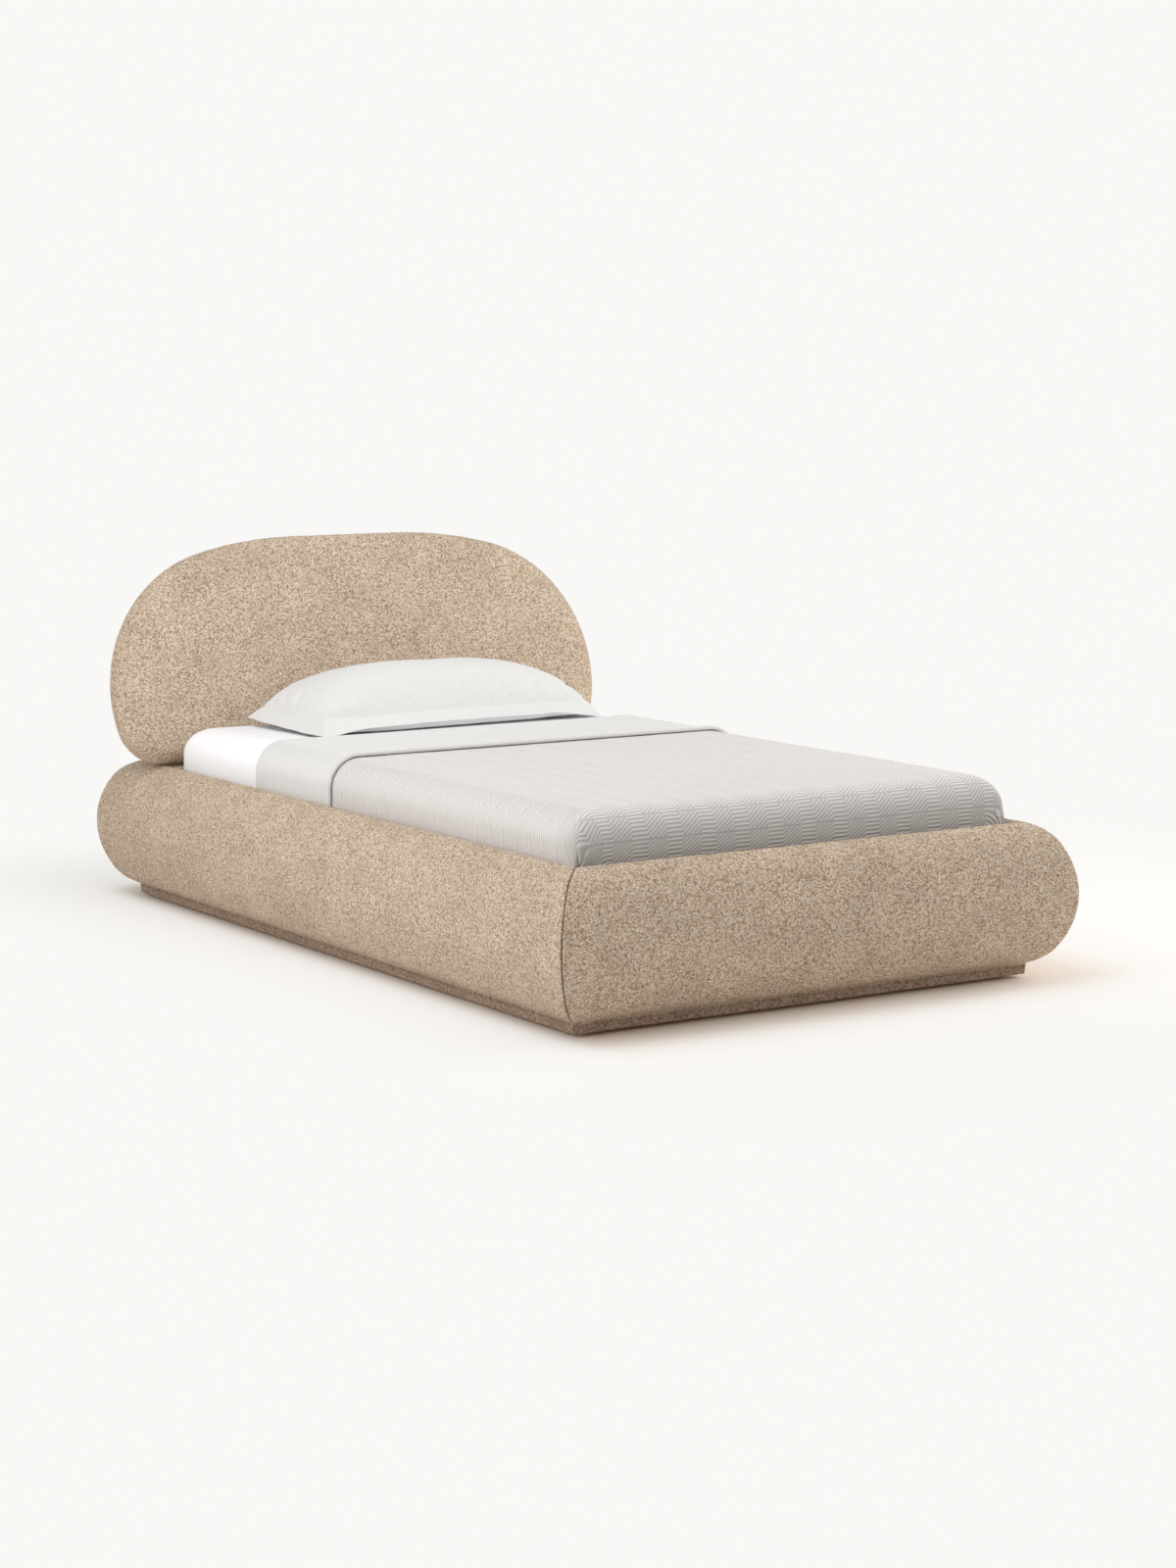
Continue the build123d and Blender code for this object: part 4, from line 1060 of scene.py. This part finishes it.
def mattress_surface():
    """Rows from the middle of the top, over the edge and down to the middle of the underside."""
    profile = mattress_profile()
    centre, half, ring = mattress_ring()
    anchor, direction = ring[:, :2], ring[:, 2:]
    out = profile[:, :1]
    inward = np.clip(1 + out / half[0], 0, 1)[..., None]
    drawn = centre + (anchor - centre) * np.where(out[..., None] < 0, inward, 1)
    points = np.zeros((len(profile), len(ring), 3))
    points[..., :2] = drawn + direction * np.maximum(out, 0)[..., None]
    points[..., 2] = profile[:, 1:]
    quilt = np.abs(np.sin(pi * points[..., 0] / quilt_size) * np.sin(pi * points[..., 1] / quilt_size))
    underside = points[..., 2] < mattress_low.z + underside_limit
    points[..., 2] += np.where(underside, quilt_depth * (1 - quilt**0.5), 0)
    return points


mattress_points = mattress_surface()
mattress_faces = tube_faces(*mattress_points.shape[:2], flip_ends=True)
mattress_block = mesh_piece("mattress_block", mattress_points, mattress_faces)
dress(mattress_block, "bedding", ticking, "mattress_ticking", "mattress")
print("mattress", len(mattress_block.data.vertices), "points")

# %% [markdown]
# The fitted sheet is stretched over the mattress, so it lies smooth, with a few faint pull lines down its
# sides and round its corners, where elastic gathers its hem. Stretched cloth has no folds of its own to
# simulate: we lay it on the mattress with the function above and raise the pull lines with noise.

# %% The fitted sheet
sheet_gap = 0.5 * mm
sheet_thickness = 1 * mm
sheet_step = 11 * mm
pull_width = 22 * mm
pull_height = 1.2 * mm
pull_wander = 1.3  # pull widths, from the top to the hem
side_pulls, corner_pulls = 0.3, 1.6  # shares of the height
sheet_hem_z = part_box("fitted_sheet")[0].z
sheet_drop = drop_length(sheet_hem_z)


def pull_lines(across, along):
    """Faint folds that run down the sides and gather towards the corners."""
    over_x, over_y = past_centres(across, along)
    distance = np.maximum(over_x, over_y)
    low = np.clip(distance / sheet_drop, 0, 1)
    corner = np.minimum(over_x, over_y) / np.maximum(distance, smallest)
    girth = np.where(over_x > over_y, along, across) / pull_width
    fold = soft_noise(np.stack([girth, low * pull_wander, 0 * low], axis=-1), 1.0, seed=8)
    return fold * (side_pulls + corner_pulls * corner) * low**1.5


sheet_flat = (2 * (inner_x + sheet_drop), inner_head - inner_foot + 2 * sheet_drop)
sheet_columns, sheet_rows = (round(side / sheet_step) for side in sheet_flat)
sheet_across = np.linspace(-inner_x - sheet_drop, inner_x + sheet_drop, sheet_columns)
sheet_along = np.linspace(inner_foot - sheet_drop, inner_head + sheet_drop, sheet_rows)
sheet_u, sheet_v = np.meshgrid(sheet_across, sheet_along)
sheet_points, sheet_normals = on_mattress(sheet_u, sheet_v, sheet_gap)
sheet_fold = pull_height * np.maximum(pull_lines(sheet_u, sheet_v), 0)[..., None]
sheet_under = sheet_points + sheet_normals * sheet_fold
sheet_outer = sheet_under + sheet_normals * sheet_thickness
bed_sheet = closed_sheet("fitted_sheet_cloth", sheet_outer, sheet_under)
dress(bed_sheet, "bedding", percale, "white_cotton", "fitted_sheet")
print("fitted sheet flat", [round(side, 3) for side in sheet_flat], "m")

# %% [markdown]
# The coverlet lies over foot and sides with its edges tucked down between mattress and rails, and its head
# end is turned back as a wide band. Its cloth is thin but woven double, so it lies smooth with small
# ripples. A simulation would have to make the bed as a person does: lay, tuck, fold back. It is easier to
# say how the made bed lies, in the cloth's own measure: rows run from the foot hem to the fold, round it
# and back down to the band's hem, which is rolled.

# %% The coverlet's rows
coverlet_hem_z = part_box("coverlet")[0].z
coverlet_thickness = 3.6 * mm
coverlet_gap = 0.6 * mm
coverlet_grow = sheet_gap + sheet_thickness + coverlet_gap + coverlet_thickness / 2
turn_radius = 2.2 * mm
coverlet_fold_y = 456 * mm
coverlet_band = 409 * mm
coverlet_step = 9 * mm
corner_step = 3.5 * mm  # near and below the edges, where the pleats need it
corner_margin = 10 * mm
turn_rows = 8
hem_roll = 5.6 * mm
hem_rows = np.array((24, 17, 13.5, 11.2, 10, 8.6, 7.2, 5.6, 4.2, 2.8, 1.6, 0.8, 0.2)) * mm  # from the hem
hem_rows_from = 32 * mm
hem_tip = 0.4 * mm
hem_lift = 2.2 * mm
hem_lift_width = 26 * mm
coverlet_drop = drop_length(coverlet_hem_z) + coverlet_grow * (pi / 2 - 1)
coverlet_half = inner_x + coverlet_drop


def coverlet_lines(fine, coarse):
    """Places from the fine end to the coarse one, closer together up to the margin inside the edge."""
    near = line_points((0,), (coverlet_drop + corner_margin,), corner_step)[:, 0]
    far = line_points((coverlet_drop + corner_margin,), (abs(coarse - fine),), coverlet_step)[:, 0]
    return fine + np.sign(coarse - fine) * np.concatenate([near, far[1:]])


def coverlet_rows():
    """Along place, grow, tilt of the turn, half thickness and cloth length of every row."""
    turn_length = pi * turn_radius
    main_length = coverlet_fold_y - inner_foot + coverlet_drop
    turn = np.linspace(0, pi, turn_rows + 1)[1:]
    run = coverlet_lines(inner_foot - coverlet_drop, coverlet_fold_y)
    band = line_points((0,), (coverlet_band - hem_rows_from,), coverlet_step)[1:, 0]
    band = np.concatenate([band, coverlet_band - hem_rows])
    half = np.full(len(band), coverlet_thickness / 2)
    from_hem = coverlet_band - band
    rolled = np.sqrt(np.maximum(hem_roll**2 - (from_hem - hem_roll) ** 2, 0))
    in_roll = from_hem < hem_roll
    half = np.where(in_roll, np.maximum(rolled, hem_tip), np.maximum(half, rolled))
    settle = np.where(in_roll, hem_roll, np.maximum(half, coverlet_thickness / 2)) - coverlet_thickness / 2
    settle = settle + hem_lift * np.clip(1 - from_hem / hem_lift_width, 0, 1)
    along = np.concatenate([run, coverlet_fold_y + turn_radius * np.sin(turn), coverlet_fold_y - band])
    grow = np.concatenate([0 * run, turn_radius * (1 - np.cos(turn)), 2 * turn_radius + settle])
    tilt = np.concatenate([0 * run, turn, np.full(len(band), pi)])
    thick = np.concatenate([np.full(len(run) + turn_rows, coverlet_thickness / 2), half])
    cloth = np.concatenate([run, coverlet_fold_y + turn_radius * turn, coverlet_fold_y + turn_length + band])
    return along, grow, tilt, thick, cloth, main_length + turn_length + coverlet_band


row_along, row_grow, row_tilt, row_half, row_cloth, coverlet_length = coverlet_rows()
print("coverlet", len(row_along), "rows,", round(coverlet_length, 3), "m along")

# %% [markdown]
# At the two foot corners the side panel laps over the foot panel in a flat pleat, as when a sheet is tucked
# with a squared corner. The pleat is a height added to the cloth: it rises slowly from the side and drops at
# a fold on the foot. The cloth map follows it, so that the ribs of both panels run into the fold and don't
# bend round the corner.

# %% The coverlet's corner pleats
pleat_depth = 6 * mm
pleat_width = 34 * mm
pleat_edge = 4 * mm
pleat_top = 112 * mm  # down the cloth, where the fold begins
pleat_fade = 60 * mm
pleat_start = 6 * mm  # where the fold is along the corner's girth, above and at the hem
pleat_end = -12 * mm
rib_fan = 50 * mm
girth_share = 1.85  # level way round the squared corner, of its radius
corner_girth = girth_share * (mattress_corner + coverlet_grow)


def corner_share(across, along):
    """How far a place is round a foot corner: 0 at the side, 1 at the foot, and 0 or 1 outside the corner."""
    over_x, over_y = past_centres(across, along)
    distance = np.maximum(np.maximum(over_x, over_y), smallest)
    share = np.where(over_x >= over_y, 0.5 * over_y / distance, 1 - 0.5 * over_x / distance)
    return share, distance, (over_x > 0) & (over_y > 0)


def below_pleat_top(distance):
    """Zero above the start of the pleat and one below it, with a soft change."""
    share = np.clip((distance - pleat_top) / pleat_fade, 0, 1)
    return share**2 * (3 - 2 * share)


def pleat(across, along):
    """Height of the lapped pleat: it rises slowly from the side panel and ends in a fold on the foot."""
    share, distance, corner = corner_share(across, along)
    down = np.clip((distance - mattress_edge) / (coverlet_drop - mattress_edge), 0, 1)
    arc = (share - 0.5) * corner_girth - (pleat_start + (pleat_end - pleat_start) * down)
    slope = np.clip(1 + arc / pleat_width, 0, 1) ** 1.5
    rise = np.where(arc < 0, slope, np.clip(1 - arc / pleat_edge, 0, 1))
    return np.where(corner, pleat_depth * rise * below_pleat_top(distance), 0)


def cloth_map(across, along, cloth):
    """The cloth's own measure, across and along in metres, with the surplus cloth hidden in the pleats."""
    share, distance, corner = corner_share(across, along)
    split = below_pleat_top(distance)
    bend = rib_fan * np.clip(2 * (1 - share), 0, 1) ** 2
    foot_u = np.sign(across) * (inner_x + (1 - share) * corner_girth)
    side_v = inner_foot - share * corner_girth
    u = np.where(corner & (share >= 0.5), across + split * (foot_u - across), across)
    v = np.where(corner & (share < 0.5), cloth + split * (side_v - cloth), cloth)
    v = np.where(corner & (share >= 0.5), v + bend * split, v)
    return np.stack([u, v], axis=-1)


print("pleats", round(pleat_depth / mm), "mm deep, corner girth", round(corner_girth / mm), "mm")

# %% [markdown]
# Now the coverlet is laid on the mattress row by row. Each row lies a little above the last layer, and its
# surface is tilted as far as the cloth has turned at the fold. Small ripples, from a broad noise, keep it
# from looking like a board.

# %% The coverlet
ripple_size = 120 * mm
ripple_height = 1.4 * mm
left_columns = coverlet_lines(-coverlet_half, 0)
coverlet_across = np.concatenate([left_columns, -left_columns[-2::-1]])
coverlet_columns = len(coverlet_across)
coverlet_u, coverlet_v = np.meshgrid(coverlet_across, row_along)
tilt = row_tilt[:, None, None]
ripple_places = np.stack([coverlet_u, coverlet_v, 0 * coverlet_u + row_tilt[:, None]], axis=-1)
ripples = soft_noise(ripple_places, ripple_size, seed=9)
ripples += soft_noise(ripple_places, ripple_size / 3, seed=10) / 3
ripples = ripple_height * np.maximum(ripples + 0.1, 0) * (1 - np.sin(row_tilt / 2))[:, None]
row_lift = coverlet_grow + row_grow[:, None] + ripples
coverlet_base, base_normals = on_mattress(coverlet_u, coverlet_v, row_lift)
coverlet_base = coverlet_base + base_normals * pleat(coverlet_u, coverlet_v)[..., None]
coverlet_normals = unit(base_normals * np.cos(tilt) + np.array((0, 1.0, 0)) * np.sin(tilt))
half_thick = row_half[:, None, None]
coverlet_cloth = cloth_map(coverlet_u, coverlet_v, np.repeat(row_cloth[:, None], coverlet_columns, axis=1))
coverlet_piece = closed_sheet(
    "coverlet_cloth",
    coverlet_base + coverlet_normals * half_thick,
    coverlet_base - coverlet_normals * half_thick,
    coverlet_cloth,
)
dress(coverlet_piece, "bedding", matelasse, "greige_coverlet", "coverlet")

# %% [markdown]
# The pillow is a soft down-like filling in a white case whose flat flange, 45 mm wide in front and 24 mm at
# the ends, stands out beyond a stitched line. The filling makes a long loaf that is highest along its
# middle, and the flange droops to the bedding at its tips. It could be blown up from two flat squares by a
# simulation, but the filling's loaf, which leans on the headboard, is easier to set from measured heights.

# %% The pillow's shape
pillow_x = 25 * mm
pillow_y = 682 * mm
pillow_turn = radians(3.5)
pillow_half_width = 425 * mm
pillow_half_depth = 156 * mm
pillow_crown = 112 * mm
pillow_sag = 46 * mm
pillow_seam_z = 530 * mm
pillow_waist_share = 0.915
pillow_rear_rise = 14 * mm  # its rear leans up on the headboard
end_flange = 24 * mm
front_flange = 45 * mm
flange_thickness = 1.6 * mm
front_droop = 27 * mm  # of the flange's edge below the seam, in the middle
end_droop = 2 * mm  # and further down towards the ends
corner_droop = 16 * mm
belly_reach = 36 * mm  # how far the slack underside swells out below the front flange
pillow_step = 7 * mm
end_taper = 0.06  # the filling is this much fuller at the left end and thinner at the right one
stitch_depth = 7 * mm
stitch_width = 3.6 * mm
stitch_lines = np.array((-8.5, -5.5, -2.8, 0, 2.8, 5.5, 8.5)) * mm  # grid lines along the stitching
stitch_margin = 12 * mm
pucker_size = 30 * mm
pucker_height = 6 * mm
flange_pucker_height = 4 * mm
pucker_reach = 24 * mm
dent_size = 150 * mm
small_dent_size = 60 * mm
dent_height = 3 * mm
flange_wave_size = 90 * mm
flange_wave_height = 3 * mm
clear_of_bedding = 3 * mm


def seam_lines(half, flange):
    """Grid lines from edge to edge, closer together at the stitched line."""
    body = line_points((0,), (half - stitch_margin,), pillow_step)[:, 0]
    rim = line_points((half + stitch_margin,), (half + flange,), pillow_step)[:, 0]
    lines = np.concatenate([body, half + stitch_lines, rim])
    return np.concatenate([-lines[:0:-1], lines])


def filling_heights(x, y, pucker):
    """How far the filling pushes the case up and down from the seam."""
    width_share = np.clip(x / pillow_half_width, -1, 1)
    depth_share = np.clip(y / pillow_half_depth, -1, 1)
    belly_share = np.clip(y / (pillow_half_depth + np.where(y < 0, belly_reach, 0)), -1, 1)
    body_x = np.sqrt(np.maximum(1 - np.abs(width_share) ** 3, 0)) * (1 - end_taper * width_share)
    body_y = np.sqrt(np.maximum(1 - depth_share**2, 0))
    places = np.stack([x, y, 0 * x], axis=-1)
    dent = soft_noise(places, dent_size, seed=12) + soft_noise(places, small_dent_size, seed=13) / 3
    top = (pillow_crown + dent_height * dent) * body_x * body_y + pucker_height * pucker
    bottom = -pillow_sag * np.sqrt(1 - belly_share**6) * np.maximum(1 - np.abs(width_share) ** 4, 0) ** 0.5
    return top, np.where(np.abs(belly_share) < 1, bottom, flange_pucker_height * pucker)


def seam_height(x, y, past_x, past_y):
    """Height of the layer between top and bottom: the seam, the drooping flange and the raised rear."""
    beyond_share = np.clip(np.maximum(past_x / end_flange, past_y / front_flange), 0, 1)
    corner = np.abs(np.clip(x / pillow_half_width, -1, 1)) ** 6
    front = np.clip(0.5 - y / pillow_half_depth / 2, 0, 1)
    droop = beyond_share * (front_droop + (end_droop + corner_droop * front) * corner)
    places = np.stack([x, y, 0 * x], axis=-1)
    wave = flange_wave_height * soft_noise(places, flange_wave_size, seed=14) * beyond_share
    ends = np.abs(x / (pillow_half_width + end_flange)) ** 10
    rear = np.clip(y / pillow_half_depth, 0, 1) ** 2 * (1 - ends)
    return pillow_seam_z - droop + wave + pillow_rear_rise * rear


def pillow_heights(x, y):
    """Heights of the case's top and bottom, and how far each point is outside the stitched line."""
    past_x, past_y = np.abs(x) - pillow_half_width, np.abs(y) - pillow_half_depth
    beyond = np.maximum(past_x, past_y)
    places = np.stack([x, y, 0 * x], axis=-1)
    pucker = soft_noise(places, pucker_size, seed=11) * np.exp(-np.abs(beyond) / pucker_reach)
    top, bottom = filling_heights(x, y, pucker)
    stitch = stitch_depth * np.exp(-((beyond / stitch_width) ** 2))
    middle = seam_height(x, y, past_x, past_y)
    upper = middle + flange_thickness - stitch + np.where(beyond < 0, top, flange_pucker_height * pucker)
    lower = np.maximum(middle - flange_thickness + bottom, mattress_high.z + coverlet_grow + clear_of_bedding)
    return np.maximum(upper, lower + 2 * flange_thickness - stitch / 2), lower, beyond


print("pillow stitched at", round(2 * pillow_half_width / mm), "by", round(2 * pillow_half_depth / mm), "mm")

# %% [markdown]
# The two skins share one outline. In the middle the case is drawn in a little, as a filled case is, and the
# whole pillow lies slightly askew.

# %% The pillow
def pillow_surfaces():
    """Top and bottom as two grids in the room, and how far each point is outside the stitched line."""
    across = seam_lines(pillow_half_width, end_flange)
    deep = seam_lines(pillow_half_depth, front_flange)
    x, y = np.meshgrid(across, deep)
    upper, lower, beyond = pillow_heights(x, y)
    width_share = np.clip(x / pillow_half_width, -1, 1)
    y = y * (1 - (1 - pillow_waist_share) * np.cos(pi / 2 * width_share) ** 2)
    place_x = pillow_x + x * cos(pillow_turn) - y * sin(pillow_turn)
    place_y = pillow_y + x * sin(pillow_turn) + y * cos(pillow_turn)
    top_points = np.stack([place_x, place_y, upper], axis=-1)
    return top_points, np.stack([place_x, place_y, lower], axis=-1), beyond


pillow_top, pillow_bottom, outside_seam = pillow_surfaces()
pillow = closed_sheet("pillow_in_case", pillow_top, pillow_bottom)
print("pillow", len(pillow.data.vertices), "points before its cloth is let out")

# %% [markdown]
# A cotton case is cut a little larger than its filling, so it puckers along the stitched line. We get these
# folds from a cloth simulation, because noise alone never finds the way that they run: the flange and the
# underside are pinned, the top grows by two percent and a light air pressure holds it out. Each point may
# move only a little, so the pillow keeps its shape.

# %% Let out the pillow's cloth
cloth_frames = 22
cloth_pressure = 4.0
cloth_growth = 0.02
cloth_cap = 8 * mm
cloth_bending = 0.4
pinned_margin = 1 * mm  # inside the stitched line


def let_out(piece, pinned):
    """Runs a short cloth simulation on a closed piece and keeps its result, within the cap."""
    start = np.array([corner.co for corner in piece.data.vertices])
    group = piece.vertex_groups.new(name="pinned")
    group.add([int(i) for i in np.flatnonzero(pinned)], 1.0, "REPLACE")
    cloth = piece.modifiers.new("cloth", "CLOTH")
    cloth.settings.vertex_group_mass = "pinned"
    cloth.settings.use_pressure = True
    cloth.settings.uniform_pressure_force = cloth_pressure
    cloth.settings.shrink_min = -cloth_growth
    cloth.settings.effector_weights.gravity = 0
    cloth.settings.bending_stiffness = cloth_bending
    cloth.point_cache.frame_end = cloth_frames
    for number in range(1, cloth_frames + 1):
        bpy.context.scene.frame_set(number)
    settled = piece.evaluated_get(bpy.context.evaluated_depsgraph_get()).data
    moved = np.array([corner.co for corner in settled.vertices]) - start
    length = np.linalg.norm(moved, axis=1, keepdims=True)
    moved *= np.minimum(1, cloth_cap / np.maximum(length, smallest))
    piece.modifiers.remove(cloth)
    bpy.context.scene.frame_set(1)
    piece.data.vertices.foreach_set("co", (start + moved).ravel())
    piece.data.update()
    return float(length.mean()), float(length.max())


tidy_normals(pillow)
on_flange = outside_seam.ravel() >= -pinned_margin
moved = let_out(pillow, np.concatenate([on_flange, np.ones(on_flange.size, bool)]))
print("cloth moved", [round(value / mm, 1) for value in moved], "mm on average and at most")
smooth = pillow.modifiers.new("smooth", "SUBSURF")
smooth.levels = smooth.render_levels = 1
dress(pillow, "pillow", washed_cotton, "pillow_cotton", "pillowcase", "pillow_filling")
print("pillow", len(pillow.data.vertices), "points")

# %% [markdown]
# The camera stands off the bed's left foot corner, a little below eye height, and looks slightly down. A
# short lens close by would spread the foot end. This one stands 8 m away with a longish lens, as a
# furniture photographer's does, so the bed keeps its true proportions.

# %% Camera
camera = bpy.data.objects.new("camera", bpy.data.cameras.new("camera"))
bpy.context.scene.collection.objects.link(camera)
camera.location = (-4.2267, -6.7265, 1.4508)
camera_down, camera_left = radians(7.627), radians(-32.825)
camera.rotation_euler = (pi / 2 - camera_down, 0, camera_left)
camera.data.lens = 71.95
camera.data.sensor_width = 36
camera.data.clip_end = 100
bpy.context.scene.camera = camera
print("camera", round(camera.location.z, 2), "m up,", camera.data.lens, "mm lens")

# %% [markdown]
# The bed stands in a white studio. One bright world could give both the white behind it and the light on
# it, but then the white cloth would be lit beyond white. So the camera sees a plain white surround, and the
# bed is lit by a weaker one: the Light Path node tells whether a ray comes from the camera.

# %% Surround
studio_white = "#F9F8F6"
surround_light = "#FFFDFA"
surround_strength = 0.55


def camera_sees(tree):
    """One where a ray comes straight from the camera, off a mirror or through glass."""
    rays = add_node(tree, "LightPath").outputs
    mirrored = {0: rays["Is Camera Ray"], 1: rays["Is Glossy Ray"]}
    seen = {0: add_node(tree, "Math", mirrored, operation="MAXIMUM"), 1: rays["Is Transmission Ray"]}
    return add_node(tree, "Math", seen, operation="MAXIMUM")


def studio_world(strength):
    """An even surround whose seen colour is the studio's white."""
    world = bpy.data.worlds.new("studio")
    world.use_nodes = True
    tree = world.node_tree
    tree.nodes.clear()
    light = add_node(tree, "Background", {"Color": linear(surround_light), "Strength": strength})
    seen = add_node(tree, "Background", {"Color": linear(studio_white), "Strength": 1.0})
    both = add_node(tree, "MixShader", {0: camera_sees(tree), 1: light, 2: seen})
    add_node(tree, "OutputWorld", {"Surface": both})
    return world


bpy.context.scene.world = studio_world(surround_strength)
bpy.context.scene.view_settings.view_transform = "Standard"
print("surround lights at", surround_strength)

# %% [markdown]
# The floor is matt and shows the bed's shadow close by. Further out it goes over into the surround's white,
# so that no horizon shows. A curved backdrop would do that for one camera only, while a floor that fades
# with the distance from the bed does it from every side.

# %% Floor
floor_size = 14.0
# Painted light: the white glow that the fade mixes in lightens the bed's shadow near the bed, most on the
# left, where the fade is shortest and starts under the plinth.
left_fade = 0.55  # from the plinth out to where the floor is plain white
right_fade = 1.9
end_fade = 1.1
floor_fade_stops = (
    (0.0, "#000000"), (0.1, "#303030"), (0.2, "#BCBCBC"),
    (0.45, "#D6D6D6"), (0.8, "#F6F6F6"), (1.0, "#FFFFFF"),
)
left_inset = 60 * mm  # the fade starts this far under the plinth on the left
painted_bounce_tint = "#F8EEE3"  # painted warm bounce light from the bed's cloth
far_tint = "#F4F2EF"
near_share = 0.22  # of the fade, over which the tint changes


def studio_floor():
    """A matt floor that keeps the bed's shadow near it and goes over into the white surround."""
    made, tree = new_material("studio_floor")
    place = add_node(tree, "SeparateXYZ", {0: add_node(tree, "TexCoord").outputs["Object"]})
    x, y = place.outputs[0], place.outputs[1]
    past_left = add_node(tree, "MapRange", {0: x, 1: left_inset - plinth_x, 2: -plinth_x - left_fade})
    past_right = add_node(tree, "MapRange", {0: x, 1: plinth_x, 2: plinth_x + right_fade})
    past_x = add_node(tree, "Math", {0: past_left, 1: past_right}, operation="MAXIMUM")
    from_middle = add_node(tree, "Math", {0: y}, operation="ABSOLUTE")
    past_y = add_node(tree, "MapRange", {0: from_middle, 1: plinth_y, 2: plinth_y + end_fade})
    past = add_node(tree, "CombineXYZ", {0: past_x, 1: past_y})
    away = add_node(tree, "VectorMath", {0: past}, operation="LENGTH").outputs["Value"]
    fade = add_node(tree, "ValToRGB", {0: away})
    set_ramp(fade, floor_fade_stops)
    seen = add_node(tree, "Math", {0: fade, 1: camera_sees(tree)}, operation="MULTIPLY")
    clear = add_node(tree, "MapRange", {0: away, 1: 0.0, 2: near_share})
    # Painted bounce light: the floor's colour is warmer near the bed.
    tint = add_node(tree, "MixRGB", {0: clear, 1: linear(painted_bounce_tint), 2: linear(far_tint)})
    matt = add_node(tree, "BsdfDiffuse", {"Color": tint})
    glow = add_node(tree, "Emission", {"Color": linear(studio_white), "Strength": 1.0})
    add_node(tree, "OutputMaterial", {"Surface": add_node(tree, "MixShader", {0: seen, 1: matt, 2: glow})})
    return made


floor = mesh_piece(
    "studio_floor",
    [(x * floor_size, y * floor_size, 0) for x, y in ((-1, -1), (1, -1), (1, 1), (-1, 1))],
    [(0, 1, 2, 3)],
)
floor.data.materials.append(studio_floor())
floor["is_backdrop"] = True
print("floor fades out", end_fade, "m beyond the foot")

# %% [markdown]
# A sun lamp would cut hard shadows that a photographer's studio doesn't have. Three large, weak lamps model
# the forms instead: one above the bed and one at each side. The right one is the strongest. It grazes the
# foot rail, so that the loops show there, and lights the floor at the bed's right.

# %% Lamps
bed_middle = (0, -0.1, 0.4)


def soft_lamp(name, place, target, size, power):
    """A square lamp that faces a target."""
    lamp = bpy.data.lights.new(name, "AREA")
    lamp.size = size
    lamp.energy = power
    made = bpy.data.objects.new(name, lamp)
    bpy.context.scene.collection.objects.link(made)
    made.location = place
    away = np.subtract(place, target)
    made.rotation_euler = (atan2(sqrt(away[0] ** 2 + away[1] ** 2), away[2]), 0, atan2(away[0], -away[1]))


soft_lamp("lamp_above", (-1.3, -0.3, 3.0), bed_middle, 2.2, 33.0)
soft_lamp("lamp_left", (-3.6, -0.8, 1.8), bed_middle, 2.5, 42.0)
soft_lamp("lamp_right", (3.6, -1.3, 1.8), bed_middle, 2.5, 98.0)

# %% [markdown]
# Last, we note the size before and after dressing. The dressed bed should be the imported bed's size, within
# the thickness of its cloth.

# %% Sizes and finish
dressed_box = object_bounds()
sizes = {"packed": [list(corner) for corner in cad_box], "dressed": [list(corner) for corner in dressed_box]}
for name, (low, high) in sizes.items():
    print(name, [round((h - l) / mm) for l, h in zip(low, high)], "mm")
